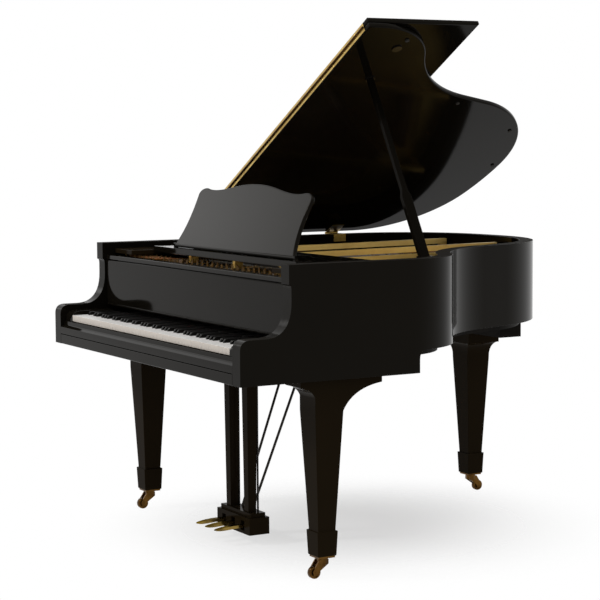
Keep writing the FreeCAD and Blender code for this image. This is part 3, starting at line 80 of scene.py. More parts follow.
class Body(str, Enum):
    """The moving bodies that the new pieces ride on."""

    CASE = "case"
    LID = "lid"
    FRONT_LID = "front_lid"
    FALLBOARD = "fallboard"
    DESK = "desk"
    WHITE_KEYS = "white_keys"
    BLACK_KEYS = "black_keys"
    MIDDLE_C = "middle_c_key"


class Wheel(str, Enum):
    """The caster wheels' own bodies."""

    FRONT_LEFT = "caster_wheel_front_left"
    FRONT_RIGHT = "caster_wheel_front_right"
    REAR = "caster_wheel_rear"


class Rod(str, Enum):
    """The pedal rods' own bodies."""

    LEFT = "pedal_rod_left"
    MIDDLE = "pedal_rod_middle"
    RIGHT = "pedal_rod_right"


class Slot(str, Enum):
    """The material slots of the record."""

    EBONY = "ebony"
    BEECH = "beech"
    SPRUCE = "spruce"
    MAPLE = "maple"
    GOLD_IRON = "gold_iron"
    STEEL = "steel"
    COPPER = "copper"
    BRASS = "brass"
    IVORY = "ivory"
    BLACK_KEY = "black_key"
    RED_FELT = "red_felt"
    WHITE_FELT = "white_felt"
    RUBBER = "rubber"


# Shader values

class Value:
    """A shader socket that takes part in ordinary arithmetic."""

    def __init__(self, shader: "Shader", socket: bpy.types.NodeSocket) -> None:
        """Keep the socket and the shader that holds its node."""
        self.shader = shader
        self.socket = socket

    def _math(self, operation: str, first: Feed, second: Feed) -> "Value":
        """Add one Math node and return its result."""
        return self.shader.node("ShaderNodeMath", {"operation": operation}, {0: first, 1: second})

    def __add__(self, other: Feed) -> "Value":
        """Sum."""
        return self._math("ADD", self, other)

    def __radd__(self, other: Feed) -> "Value":
        """Reflected sum."""
        return self._math("ADD", other, self)

    def __sub__(self, other: Feed) -> "Value":
        """Difference."""
        return self._math("SUBTRACT", self, other)

    def __rsub__(self, other: Feed) -> "Value":
        """Reflected difference."""
        return self._math("SUBTRACT", other, self)

    def __mul__(self, other: Feed) -> "Value":
        """Product."""
        return self._math("MULTIPLY", self, other)

    def __rmul__(self, other: Feed) -> "Value":
        """Reflected product."""
        return self._math("MULTIPLY", other, self)


class Shader:
    """The node tree of one material or of the world."""

    def __init__(self, tree: bpy.types.NodeTree) -> None:
        """Empty the tree, so that every node in it comes from node()."""
        self.tree = tree
        tree.nodes.clear()

    def node(self, kind: str, settings: dict, feeds: dict, result: Union[int, str] = 0) -> Optional[Value]:
        """Add any node.

        Args:
            kind: The node's type.
            settings: Properties of the node, set first.
            feeds: Values or links by socket name or number.
            result: The output to return.

        Returns:
            The named output, or None for a node without outputs.
        """
        made = self.tree.nodes.new(kind)
        for key, setting in settings.items():
            setattr(made, key, setting)
        for key, feed in feeds.items():
            if isinstance(feed, Value):
                self.tree.links.new(feed.socket, made.inputs[key])
            elif feed is not None:
                made.inputs[key].default_value = feed
        return Value(self, made.outputs[result]) if len(made.outputs) else None

    def place(self, scale: Sequence[float] = (1.0, 1.0, 1.0)) -> Value:
        """Object coordinates in metres, stretched by a scale along each axis."""
        spot = self.node("ShaderNodeTexCoord", {}, {}, "Object")
        return self.node("ShaderNodeMapping", {}, {"Vector": spot, "Scale": tuple(scale)})

    def noise(self, spot: Value, scale: float, detail: float = 3.0, rough: float = 0.5) -> Value:
        """Cloudy noise from 0 to 1."""
        feeds = {"Vector": spot, "Scale": scale, "Detail": detail, "Roughness": rough}
        return self.node("ShaderNodeTexNoise", {}, feeds)

    def step(self, value: Feed, low: float, high: float) -> Value:
        """Smooth step from 0 at low to 1 at high."""
        settings = {"interpolation_type": "SMOOTHSTEP"}
        return self.node("ShaderNodeMapRange", settings, {0: value, 1: low, 2: high, 3: 0.0, 4: 1.0})

    def mix(self, share: Feed, first: Union[Value, Colour], second: Union[Value, Colour]) -> Value:
        """Mix two colours by a share from 0 to 1."""
        ends = [tone if isinstance(tone, Value) else (*tone, 1.0) for tone in (first, second)]
        return self.node("ShaderNodeMix", {"data_type": "RGBA"}, {0: share, 6: ends[0], 7: ends[1]}, 2)

    def bump(self, height: Value, strength: float, distance: float) -> Value:
        """Normal bent by a height."""
        feeds = {"Strength": strength, "Distance": distance, "Height": height}
        return self.node("ShaderNodeBump", {}, feeds, "Normal")

    def axis(self, spot: Value, name: str) -> Value:
        """One coordinate of a vector."""
        return self.node("ShaderNodeSeparateXYZ", {}, {"Vector": spot}, name)

    def normal(self, name: str) -> Value:
        """One coordinate of the direction that the face looks in."""
        return self.axis(self.node("ShaderNodeNewGeometry", {}, {}, "True Normal"), name)

    def surface(self, **feeds: Feed) -> None:
        """Finish a material with one principled surface.

        Args:
            feeds: Values or links by socket name, where underscores stand for spaces.
        """
        named = {key.replace("_", " "): feed for key, feed in feeds.items()}
        skin = self.node("ShaderNodeBsdfPrincipled", {}, named, "BSDF")
        self.node("ShaderNodeOutputMaterial", {}, {"Surface": skin})


# Finishes

@dataclass(frozen=True)
class Finish:
    """A material of the piano and the record's slot that it belongs to.

    In the finishes below, a noise is a scale, a detail and sometimes a roughness, an edge is where a
    step starts and ends, a bump is a strength and a depth in metres, a stretch scales the coordinates
    along each axis, and wear is how much each pattern roughens the surface.
    """

    name: str
    slot: Slot

    def material(self) -> bpy.types.Material:
        """Make the Blender material, the first time that it is asked for.

        Returns:
            The material.
        """
        found = bpy.data.materials.get(self.name)
        if found is None:
            found = bpy.data.materials.new(self.name)
            found.use_nodes = True
            self.paint(Shader(found.node_tree))
        return found

    def paint(self, shader: Shader) -> None:
        """Add the finish's nodes."""
        raise NotImplementedError


@dataclass(frozen=True)
class Lacquer(Finish):
    """Polished black polyester: deep black, a faint polishing haze, dust specks and orange peel.

    Dust is the roughness that settles on level tops.
    """

    deep: Colour = (0.0030, 0.0025, 0.0017)
    haze: Colour = (0.0065, 0.0053, 0.0036)
    gloss: float = 0.045
    index: float = 1.14
    tint: Colour = (1.0, 0.91, 0.78)
    dust: float = 0.0
    cloud_noise: Numbers = (2.3, 4.0)
    speck_noise: Numbers = (380.0, 2.0)
    speck_edge: Pair = (0.66, 0.74)
    swirl_noise: Numbers = (60.0, 3.0)
    swirl_stretch: Triple = (1.0, 9.0, 3.0)
    level_edge: Pair = (0.96, 0.995)
    wear: Numbers = (0.04, 0.03, 0.10)
    peel_noise: Numbers = (140.0, 2.0)
    peel_bump: Pair = (0.10, 0.0002)

    def paint(self, shader: Shader) -> None:
        """Haze follows broad clouds, roughness rises with haze, specks and dust, peel is a fine bump.

        Args:
            shader: The material's shader.
        """
        spot = shader.place()
        cloud = shader.noise(spot, *self.cloud_noise)
        specks = shader.step(shader.noise(spot, *self.speck_noise), *self.speck_edge)
        swirl = shader.noise(shader.place(self.swirl_stretch), *self.swirl_noise)
        hazy, swirled, specked = self.wear
        rough = self.gloss + hazy * cloud + swirled * swirl + specked * specks
        if self.dust:
            rough = rough + self.dust * shader.step(shader.normal("Z"), *self.level_edge)
        shader.surface(Base_Color=shader.mix(cloud, self.deep, self.haze), Roughness=rough, IOR=self.index,
                       Specular_Tint=(*self.tint, 1.0),
                       Normal=shader.bump(shader.noise(spot, *self.peel_noise), *self.peel_bump))


@dataclass(frozen=True)
class Metal(Finish):
    """Plain metal with tarnish clouds and fine rubbing marks; edge tints what it mirrors at a glance."""

    bright: Colour = (0.58, 0.41, 0.13)
    dull: Colour = (0.40, 0.26, 0.07)
    gloss: float = 0.20
    edge: Colour = (1.0, 1.0, 1.0)
    tarnish_noise: Numbers = (24.0, 5.0, 0.6)
    tarnish_edge: Pair = (0.36, 0.72)
    rub_noise: Numbers = (260.0, 2.0)
    rub_stretch: Triple = (1.0, 14.0, 14.0)
    rub_bump: Pair = (0.15, 0.0001)
    wear: Numbers = (0.16, 0.06)

    def paint(self, shader: Shader) -> None:
        """Tarnish clouds mix the two tones and raise the roughness; rubbing marks are a small bump.

        Args:
            shader: The material's shader.
        """
        tarnish = shader.step(shader.noise(shader.place(), *self.tarnish_noise), *self.tarnish_edge)
        rub = shader.noise(shader.place(self.rub_stretch), *self.rub_noise)
        tarnished, rubbed = self.wear
        shader.surface(Base_Color=shader.mix(tarnish, self.bright, self.dull), Metallic=1.0,
                       Roughness=self.gloss + tarnished * tarnish + rubbed * rub,
                       Specular_Tint=(*self.edge, 1.0), Normal=shader.bump(rub, *self.rub_bump))


@dataclass(frozen=True)
class GoldPaint(Finish):
    """Bronze powder paint over cast iron: warm gold with a sandy skin and darker hollows."""

    bright: Colour = (0.90, 0.64, 0.20)
    deep: Colour = (0.70, 0.46, 0.13)
    metal: float = 0.75
    gloss: float = 0.30
    cloud_noise: Numbers = (6.0, 4.0)
    cloud_edge: Pair = (0.30, 0.75)
    grain_noise: Numbers = (420.0, 3.0)
    grain_bump: Pair = (0.25, 0.0004)
    wear: Numbers = (0.14, 0.08)

    def paint(self, shader: Shader) -> None:
        """Broad clouds darken the gold, a fine grain gives the cast skin.

        Args:
            shader: The material's shader.
        """
        spot = shader.place()
        cloud = shader.noise(spot, *self.cloud_noise)
        grain = shader.noise(spot, *self.grain_noise)
        tone = shader.mix(shader.step(cloud, *self.cloud_edge), self.bright, self.deep)
        clouded, grained = self.wear
        shader.surface(Base_Color=tone, Metallic=self.metal,
                       Roughness=self.gloss + clouded * cloud + grained * grain,
                       Normal=shader.bump(grain, *self.grain_bump))


@dataclass(frozen=True)
class Wood(Finish):
    """Bare wood with growth rings and fibres along one axis."""

    light: Colour = (0.60, 0.42, 0.24)
    dark: Colour = (0.40, 0.25, 0.12)
    stretch: Triple = (1.0, 0.05, 1.0)
    rings: float = 26.0
    index: float = 1.5
    ring_noise: Numbers = (4.0, 0.55)
    ring_edge: Pair = (0.42, 0.80)
    fibre_rate: float = 18.0
    fibre_detail: float = 2.0
    fibre_share: float = 0.25
    fibre_bump: Pair = (0.25, 0.0003)
    gloss: float = 0.42
    wear: float = 0.18

    def paint(self, shader: Shader) -> None:
        """Noise drawn out along the grain gives the rings, finer noise the fibres and the bump.

        Args:
            shader: The material's shader.
        """
        spot = shader.place(self.stretch)
        ring = shader.noise(spot, self.rings, *self.ring_noise)
        fibre = shader.noise(spot, self.rings * self.fibre_rate, self.fibre_detail)
        grain = shader.step(ring + self.fibre_share * fibre, *self.ring_edge)
        shader.surface(Base_Color=shader.mix(grain, self.light, self.dark),
                       Roughness=self.gloss + self.wear * fibre, IOR=self.index,
                       Normal=shader.bump(fibre, *self.fibre_bump))


@dataclass(frozen=True)
class KeyCover(Finish):
    """Polished cream key tops, with a darker, warmer tone on the forward faces that is painted shade, and
    painted near-black shade behind the covers.
    """

    cream: Colour = (0.80, 0.78, 0.76)
    shade: Colour = (0.74, 0.72, 0.69)
    # Darker, warmer tone of the forward faces: painted shade.
    front: Colour = (0.60, 0.52, 0.44)
    # Near black behind the covers, where the keys run under the fallboard: painted shade.
    stick: Colour = (0.012, 0.010, 0.008)
    rear_shade_edge: Pair = (-0.655, -0.653)
    cloud_noise: Numbers = (30.0, 4.0)
    front_shade_edge: Pair = (0.55, 0.85)
    streak_noise: Numbers = (30.0, 2.0)
    streak_stretch: Triple = (20.0, 20.0, 2.0)
    streak_share: float = 0.5
    gloss: float = 0.20
    wear: Numbers = (0.10, 0.20, 0.45)
    scratch_noise: Numbers = (500.0, 2.0)
    scratch_bump: Pair = (0.05, 0.0002)

    def paint(self, shader: Shader) -> None:
        """The tone follows clouds over the top, turns to the front tone, painted shade, where faces look
        forward, and to near black, painted shade, behind the covers.

        Args:
            shader: The material's shader.
        """
        spot = shader.place()
        cloud = shader.noise(spot, *self.cloud_noise)
        streak = shader.noise(shader.place(self.streak_stretch), *self.streak_noise)
        # Faces that look forward take the front tone: painted shade by face direction.
        ahead = shader.step(0.0 - shader.normal("Y"), *self.front_shade_edge)
        # Behind the covers the tone turns near black: painted shade under the fallboard.
        behind = shader.step(shader.axis(spot, "Y"), *self.rear_shade_edge)
        top = shader.mix(cloud, self.cream, self.shade)
        face = shader.mix(self.streak_share * streak, self.front, self.shade)
        tone = shader.mix(behind, shader.mix(ahead, top, face), self.stick)
        clouded, fronted, bared = self.wear
        rough = self.gloss + clouded * cloud + fronted * ahead + bared * behind
        shader.surface(Base_Color=tone, Roughness=rough,
                       Normal=shader.bump(shader.noise(spot, *self.scratch_noise), *self.scratch_bump))


@dataclass(frozen=True)
class Felt(Finish):
    """Pressed wool felt."""

    light: Colour
    dark: Colour
    pile_noise: Numbers = (700.0, 5.0, 0.7)
    pile_bump: Pair = (0.7, 0.0008)
    cloud_noise: Numbers = (40.0, 3.0)
    shares: Pair = (0.6, 0.4)
    gloss: float = 0.85
    wear: float = 0.10
    sheen: float = 0.35

    def paint(self, shader: Shader) -> None:
        """Fibre noise mixes the tones and lifts the pile.

        Args:
            shader: The material's shader.
        """
        spot = shader.place()
        pile = shader.noise(spot, *self.pile_noise)
        cloud = shader.noise(spot, *self.cloud_noise)
        tone = shader.mix(self.shares[0] * pile + self.shares[1] * cloud, self.light, self.dark)
        shader.surface(Base_Color=tone, Roughness=self.gloss + self.wear * pile, Sheen_Weight=self.sheen,
                       Normal=shader.bump(pile, *self.pile_bump))


@dataclass(frozen=True)
class Winding(Finish):
    """Copper wire wound round a bass string."""

    # Both tones sit well below copper's own colour: partly copper, partly painted shade of the strings in the
    # case.
    bright: Colour = (0.20, 0.085, 0.035)
    dark: Colour = (0.09, 0.035, 0.014)
    turns: float = 330.0
    coil_bump: Pair = (0.6, 0.0005)
    cloud_noise: Numbers = (30.0, 3.0)
    shares: Pair = (0.5, 0.5)
    gloss: float = 0.25
    wear: float = 0.15

    def paint(self, shader: Shader) -> None:
        """Bands across the string give the turns, clouds the tarnish.

        Args:
            shader: The material's shader.
        """
        spot = shader.place()
        feeds = {"Vector": spot, "Scale": self.turns}
        bands = shader.node("ShaderNodeTexWave", {"bands_direction": "Y"}, feeds, "Fac")
        cloud = shader.noise(spot, *self.cloud_noise)
        tone = shader.mix(self.shares[0] * bands + self.shares[1] * cloud, self.bright, self.dark)
        shader.surface(Base_Color=tone, Metallic=1.0, Roughness=self.gloss + self.wear * cloud,
                       Normal=shader.bump(bands, *self.coil_bump))


@dataclass(frozen=True)
class Layered(Finish):
    """A piece of two or three stuffs that change with height, as on a hammer or a damper."""

    low: Colour = (0.55, 0.38, 0.20)
    middle: Colour = (0.55, 0.38, 0.20)
    high: Colour = (0.74, 0.70, 0.62)
    first: float = 0.70
    second: float = 0.84
    metal: float = 0.0
    rough_high: float = 0.9
    worn: Colour = (0.05, 0.04, 0.03)
    fade: float = 0.0005
    fibre_noise: Numbers = (320.0, 4.0, 0.6)
    fibre_share: float = 0.35
    fibre_bump: Pair = (0.3, 0.0004)
    gloss: float = 0.35
    wear: float = 0.10

    def paint(self, shader: Shader) -> None:
        """Two steps in height choose among the three tones; fibres vary each of them.

        Args:
            shader: The material's shader.
        """
        spot = shader.place()
        height = shader.axis(spot, "Z")
        above = shader.step(height, self.first - self.fade, self.first + self.fade)
        crown = shader.step(height, self.second - self.fade, self.second + self.fade)
        fibre = shader.noise(spot, *self.fibre_noise)
        tone = shader.mix(crown, shader.mix(above, self.low, self.middle), self.high)
        wire = self.metal * (above - crown) if self.metal else 0.0
        shader.surface(Base_Color=shader.mix(self.fibre_share * fibre, tone, self.worn), Metallic=wire,
                       Roughness=self.gloss + (self.rough_high - self.gloss) * crown + self.wear * fibre,
                       Normal=shader.bump(fibre, *self.fibre_bump))


EBONY = Lacquer("black_polish", Slot.EBONY)
RIM = Lacquer("black_rim_polish", Slot.EBONY, dust=0.65)
LID = Lacquer("black_lid_polish", Slot.EBONY, index=1.11)
LEGS = Lacquer("black_leg_polish", Slot.EBONY, (0.0100, 0.0066, 0.0032), (0.0180, 0.0120, 0.0058), 0.07, 1.06)
RAIL = Lacquer("black_rail_polish", Slot.EBONY, index=1.17)
PROP = Lacquer("black_prop_polish", Slot.EBONY, index=1.06)
SATIN = Lacquer("black_key_polish", Slot.BLACK_KEY, (0.004, 0.004, 0.004), (0.008, 0.0075, 0.007), 0.16, 1.18)
RUBBER = Lacquer("black_rubber", Slot.RUBBER, (0.010, 0.010, 0.010), (0.025, 0.024, 0.022), 0.70, 1.30)
IRON = Lacquer("black_japanned_iron", Slot.STEEL, (0.004, 0.0035, 0.003), (0.012, 0.010, 0.008), 0.18, 1.30)
BRASS = Metal("polished_brass", Slot.BRASS)
# Dark brass: aged on the casters; on the long hinge's barrels its darkness is painted shade.
DARK_BRASS = Metal("aged_brass_and_painted_shade", Slot.BRASS, (0.105, 0.052, 0.012), (0.042, 0.019, 0.0045), 0.18)
HINGES = Metal("hinge_brass", Slot.BRASS, (0.23, 0.15, 0.035), (0.10, 0.064, 0.016), 0.24)
# Brass darkened, with a grey edge tint, in place of the dark surroundings that the pedals mirror: painted
# shade.
PEDAL = Metal("pedal_brass_painted_shade", Slot.BRASS, (0.28, 0.19, 0.050), (0.12, 0.08, 0.025), 0.10,
              (0.36, 0.36, 0.34))
STEEL = Metal("bright_steel", Slot.STEEL, (0.58, 0.58, 0.60), (0.36, 0.35, 0.34), 0.18)
# Pin steel darkened to a brown of the dim case interior: painted shade.
SHADED_PIN_STEEL = Metal("pin_steel_painted_shade", Slot.STEEL, (0.13, 0.08, 0.03), (0.065, 0.04, 0.016), 0.34)
GOLD = GoldPaint("gold_plate_paint", Slot.GOLD_IRON)
BEECH = Wood("beech_frame", Slot.BEECH)
# Black beech: a stain on the inner rim and the beams; on the key frame it is painted shade under the keys.
BLACK_STAIN_AND_SHADE = Wood("black_stained_beech_and_painted_shade", Slot.BEECH, (0.012, 0.010, 0.008), (0.005, 0.004, 0.003), index=1.1)
SPRUCE = Wood("spruce_board", Slot.SPRUCE, (0.66, 0.47, 0.25), (0.48, 0.30, 0.13), (1.0, 0.6, 1.0), 34.0)
MAPLE = Wood("maple_bridge", Slot.MAPLE, (0.62, 0.44, 0.26), (0.44, 0.28, 0.14), (0.05, 1.0, 1.0), 30.0)
CREAM = KeyCover("cream_key_tops", Slot.IVORY)
RED = Felt("red_felt", Slot.RED_FELT, (0.06, 0.0035, 0.005), (0.03, 0.002, 0.0025))
BROWN = Felt("string_felt", Slot.RED_FELT, (0.085, 0.040, 0.015), (0.045, 0.020, 0.008))
WHITE = Felt("white_felt", Slot.WHITE_FELT, (0.70, 0.67, 0.60), (0.52, 0.49, 0.43))
COPPER = Winding("copper_winding", Slot.COPPER)
HAMMER = Layered("hammer_wood_and_felt", Slot.WHITE_FELT, second=0.846)
DAMPER = Layered("damper_tray_wire_head", Slot.EBONY, (0.50, 0.34, 0.18), (0.50, 0.50, 0.52),
                 (0.010, 0.009, 0.009), 0.712, 0.931, 1.0, 0.30)


# Surfaces

@dataclass(frozen=True)
class Patch:
    """Bench points in millimetres and the faces between them."""

    points: Points
    faces: list

    def moved(self, move: Callable[[Points], Points]) -> "Patch":
        """The same faces on moved points."""
        return Patch(move(self.points), self.faces)


@dataclass(frozen=True)
class Axes:
    """A right-handed set of directions at a place, for shapes drawn flat and stood up."""

    origin: Triple = (0.0, 0.0, 0.0)
    u: Triple = (1.0, 0.0, 0.0)
    v: Triple = (0.0, 1.0, 0.0)
    w: Triple = (0.0, 0.0, 1.0)

    def __call__(self, local: Points) -> Points:
        """Bench point = origin + u, v and w times the local coordinates."""
        return np.array(self.origin) + local @ np.array([self.u, self.v, self.w])


def across(x: float = 0.0, y: float = 0.0, z: float = 0.0) -> Axes:
    """Axes for a y, z profile carried across the case from a place."""
    return Axes((x, y, z), (0, 1, 0), (0, 0, 1), (1, 0, 0))


def facing(y: float) -> Axes:
    """Axes for an x, z outline carried forward from y towards the player."""
    return Axes((0.0, y, 0.0), (1, 0, 0), (0, 0, 1), (0, -1, 0))


def joined(patches: Sequence[Patch]) -> Patch:
    """One patch from several, with each one's faces counted on from the points before it.

    Args:
        patches: The patches in order.

    Returns:
        The joined patch.
    """
    faces = []
    count = 0
    for patch in patches:
        faces.extend([[corner + count for corner in face] for face in patch.faces])
        count += len(patch.points)
    return Patch(np.concatenate([patch.points for patch in patches]), faces)


def loft(rings: Points) -> Patch:
    """Skin over a stack of rings, closed at both ends.

    Grid point (i, j) is point j of ring i, and a quad joins each pair of neighbours on ring i to the
    same pair on ring i + 1. Rings run anticlockwise seen from the last one.

    Args:
        rings: Array of rings, points and coordinates.

    Returns:
        The closed patch.
    """
    rows, columns = rings.shape[:2]
    i, j = np.meshgrid(np.arange(rows - 1) * columns, np.arange(columns), indexing="ij")
    k = (j + 1) % columns
    quads = np.stack([i + j, i + k, i + columns + k, i + columns + j], axis=-1)
    faces = quads.reshape(-1, 4).tolist()
    faces.append(list(range(columns))[::-1])
    faces.append(list(range((rows - 1) * columns, rows * columns)))
    return Patch(rings.reshape(-1, 3), faces)


def stacked(flat: Points, heights: Points) -> Patch:
    """Skin over level rings: every point of ring i stands at height i.

    Args:
        flat: Array of rings, points and their x and y.
        heights: The height of each ring.

    Returns:
        The closed patch.
    """
    rise = np.broadcast_to(heights[:, None, None], flat.shape[:2] + (1,))
    return loft(np.concatenate([flat, rise], axis=2))


def circle(sides: int) -> Points:
    """Anticlockwise points (cos a, sin a) of a unit circle."""
    angle = np.arange(sides) * 2.0 * math.pi / sides
    return np.stack([np.cos(angle), np.sin(angle)], axis=1)


def eased_slab(outline: Points, low: float, high: float, ease: float, turns: int = 4,
               margin: float = 1.4) -> Patch:
    """A board with rounded edges: a quarter round, a straight wall and a quarter round along an outline.

    Ring t is the outline moved along its corner mitres by inset(t) at height(t). Insets run from -ease
    to 0 and back as ease * (sin a - 1) and ease * (cos a - 1); a flat margin at each end keeps the
    faces of the board level up to the rounding.

    Args:
        outline: Anticlockwise points of the board's edge.
        low: Height of the underside.
        high: Height of the top.
        ease: Radius of the edges.
        turns: Steps in each quarter round.
        margin: How far in the flat margins reach, in eases.

    Returns:
        The closed board in its own coordinates.
    """
    back = outline - np.roll(outline, 1, axis=0)
    ahead = np.roll(back, -1, axis=0)
    sides = []
    for run in (back, ahead):
        sides.append(np.stack([run[:, 1], -run[:, 0]], axis=1) / np.linalg.norm(run, axis=1, keepdims=True))
    mitre = (sides[0] + sides[1]) / (1.0 + (sides[0] * sides[1]).sum(axis=1, keepdims=True))
    angle = np.linspace(0.0, math.pi / 2, turns + 1)
    opening = ease * (np.sin(angle) - 1.0)
    closing = ease * (np.cos(angle) - 1.0)
    level = np.array([-margin * ease])
    inset = np.concatenate([level, opening, closing, level])
    heights = np.concatenate([[low], low - closing, high + opening, [high]])
    return stacked(outline[None] + mitre[None] * inset[:, None, None], heights)


def turned(profile: Sequence[Pair], sides: int) -> Patch:
    """A lathe shape: each (radius, height) of the profile is a circle, point = radius * (cos a, sin a).

    Args:
        profile: Radii and heights from one end to the other.
        sides: Points round each circle.

    Returns:
        The closed shape, standing on its own axis.
    """
    radius, height = np.array(profile, float).T
    return stacked(radius[:, None, None] * circle(sides)[None], height)


def bezier(poles: Sequence[Pair], count: int) -> Points:
    """Points of a Bezier curve without its first: the Bernstein weights times the poles.

    Args:
        poles: The poles from one end to the other.
        count: How many points are wanted.

    Returns:
        The points.
    """
    poles = np.array(poles, float)
    order = len(poles) - 1
    t = np.linspace(0.0, 1.0, count + 1)[1:, None]
    weights = [math.comb(order, k) * t ** k * (1.0 - t) ** (order - k) for k in range(order + 1)]
    return np.concatenate(weights, axis=1) @ poles


def softened(corners: Sequence[Pair], radii: Sequence[float], turns: int = 6) -> Points:
    """An outline with rounded corners: at each one a parabola from its radius before it to that after it.

    With p the corner, a and b the points before and after it, and t from 0 to 1, a point of the
    parabola is (1 - t)^2 a + 2 t (1 - t) p + t^2 b.

    Args:
        corners: Points of the sharp outline.
        radii: How far along its sides each corner is rounded.
        turns: Steps in each corner.

    Returns:
        The points of the rounded outline.
    """
    sharp = np.array(corners, float)
    run = np.roll(sharp, -1, axis=0) - sharp
    way = run / np.linalg.norm(run, axis=1, keepdims=True)
    size = np.array(radii, float)[:, None]
    before = sharp - size * np.roll(way, 1, axis=0)
    after = sharp + size * way
    t = np.linspace(0.0, 1.0, turns + 1)[None, :, None]
    curve = (1.0 - t) ** 2 * before[:, None] + 2.0 * t * (1.0 - t) * sharp[:, None] + t ** 2 * after[:, None]
    return curve.reshape(-1, 2)


def rectangle(x0: float, x1: float, y0: float, y1: float) -> Points:
    """Anticlockwise corners of a rectangle."""
    return np.array([(x0, y0), (x1, y0), (x1, y1), (x0, y1)], float)


def placed(name: str, data: bpy.types.ID) -> bpy.types.Object:
    """Put a new object into the scene.

    Args:
        name: The object's name.
        data: Its mesh, lamp or camera.

    Returns:
        The object.
    """
    made = bpy.data.objects.new(name, data)
    bpy.context.scene.collection.objects.link(made)
    return made


@dataclass
class Bench:
    """Turns patches and nodes into objects of the scene.

    Middle is the bench's y of the frame's origin. A new piece keeps edges over crease degrees sharp. In
    a node, points within merge metres become one, faces within flat degrees become one, edges over
    sharp degrees stay sharp and those over corner degrees are rounded.
    """

    middle: float
    crease: float = 35.0
    merge: float = 2e-6
    flat: float = 0.3
    sharp: float = 30.0
    corner: float = 40.0

    def piece(self, name: str, patch: Patch, finish: Finish, body: Union[Body, Wheel, Rod],
              stands_for: Sequence[str] = ()) -> None:
        """Make one piece, dress it and let it ride.

        Args:
            name: The piece's name.
            patch: Its surface on the bench.
            finish: Its material.
            body: The body that it moves with.
            stands_for: Nodes that it replaces.
        """
        mesh = bpy.data.meshes.new(name)
        mesh.from_pydata((patch.points - (0.0, self.middle, 0.0)) * MM, [], patch.faces)
        mesh.shade_smooth()
        mesh.set_sharp_from_angle(angle=math.radians(self.crease))
        self._settle(name, mesh, finish, body.value, stands_for)

    def eased(self, node: str, finish: Finish, width: float, turns: int = 2) -> None:
        """Replace a node by a merged copy of its mesh with rounded edges.

        Args:
            node: The node's name.
            finish: The material.
            width: Width of the rounding in millimetres.
            turns: Steps in the rounding.
        """
        source = frame["nodes"][node]
        shape = bmesh.new()
        shape.from_mesh(source.data)
        bmesh.ops.remove_doubles(shape, verts=shape.verts, dist=self.merge)
        bmesh.ops.dissolve_limit(shape, angle_limit=math.radians(self.flat), use_dissolve_boundaries=False,
                                 verts=shape.verts, edges=shape.edges)
        mesh = bpy.data.meshes.new(node + "_eased")
        shape.to_mesh(mesh)
        shape.free()
        stale = mesh.attributes.get("custom_normal")
        if stale:
            mesh.attributes.remove(stale)
        mesh.materials.clear()
        mesh.shade_smooth()
        mesh.set_sharp_from_angle(angle=math.radians(self.sharp))
        made = self._settle(node + "_eased", mesh, finish, source["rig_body"], (node,))
        ease = made.modifiers.new("ease", "BEVEL")
        ease.width = width * MM
        ease.segments = turns
        ease.limit_method = "ANGLE"
        ease.angle_limit = math.radians(self.corner)
        ease.harden_normals = True

    def _settle(self, name: str, mesh: bpy.types.Mesh, finish: Finish, body: str,
                stands_for: Sequence[str]) -> bpy.types.Object:
        """Place a mesh as an object, dress it, let it ride and hide the nodes that it stands for.

        Args:
            name: The object's name.
            mesh: Its mesh.
            finish: Its material.
            body: The body that it moves with.
            stands_for: Nodes that it replaces.

        Returns:
            The object.
        """
        made = placed(name, mesh)
        mesh.materials.append(finish.material())
        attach(made, body)
        if stands_for:
            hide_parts(*stands_for)
        LOG.info("%s: %d faces, %s, rides on %s", name, len(mesh.polygons), finish.name, body)
        return made

    def dress(self, finish: Finish, *nodes: str) -> None:
        """Give nodes that stay their finish.

        Args:
            finish: The material.
            nodes: The nodes' names.
        """
        for node in nodes:
            kept = frame["nodes"][node]
            if not kept.material_slots:
                kept.data.materials.append(finish.material())
            for place in kept.material_slots:
                place.link = "OBJECT"
                place.material = finish.material()
            LOG.info("%s: kept, %s", node, finish.name)


# Sub-assemblies

@dataclass
class CasePlan:
    """The outline of the case in plan: a straight spine and a bent side made of arcs.

    Walk holds the radius and the turn in degrees of each arc from the shoulder on. A turn of 0 is a
    straight run of that length, and the last arc's radius follows from the others.
    """

    half_width: float = 721.0
    shoulder_y: float = 618.0
    walk: tuple[tuple[Optional[float], float], ...] = (
        (283.0, 64.0), (530.0, -47.0), (130.0, 0.0), (470.0, 73.0), (1064.0, 12.2), (None, 77.8))
    fineness: float = 1.5
    rim: float = 50.0
    top: float = 988.0
    lid_overhang: float = 8.0
    arm_front: float = 8.0

    def outline(self, offset: float, front: float) -> Points:
        """Anticlockwise plan this far outside the case, cut straight across at the front.

        Each arc is centre + radius * (cos a, sin a) over its turn; the last arc's radius brings it
        round to the spine side.

        Args:
            offset: Distance outside the case.
            front: Where the plan is cut.

        Returns:
            The points of the plan.
        """
        x = self.half_width + offset
        y = self.shoulder_y
        heading = 0.0
        runs = [np.array([(x, front), (x, y)])]
        for size, turn in self.walk:
            a = math.radians(heading)
            b = math.radians(heading + turn)
            if turn == 0.0:
                run = np.array([(x - size * math.sin(a), y + size * math.cos(a))])
            else:
                side = math.copysign(1.0, turn)
                closing = (x + self.half_width + offset) / (1.0 + math.cos(a))
                radius = size + side * offset if size else closing
                angle = np.linspace(a, b, max(2, round(abs(turn) / self.fineness)) + 1)[1:, None]
                centre = np.array([x, y]) - side * radius * np.array([math.cos(a), math.sin(a)])
                run = centre + side * radius * np.concatenate([np.cos(angle), np.sin(angle)], axis=1)
            runs.append(run)
            x, y = run[-1]
            heading += turn
        runs.append(np.array([(x, front)]))
        return np.concatenate(runs)

    @property
    def middle(self) -> float:
        """The y halfway from the front of the arms to the edge of the lid at the tail."""
        return float((self.arm_front + self.outline(0.0, 0.0)[:, 1].max() + self.lid_overhang) / 2)


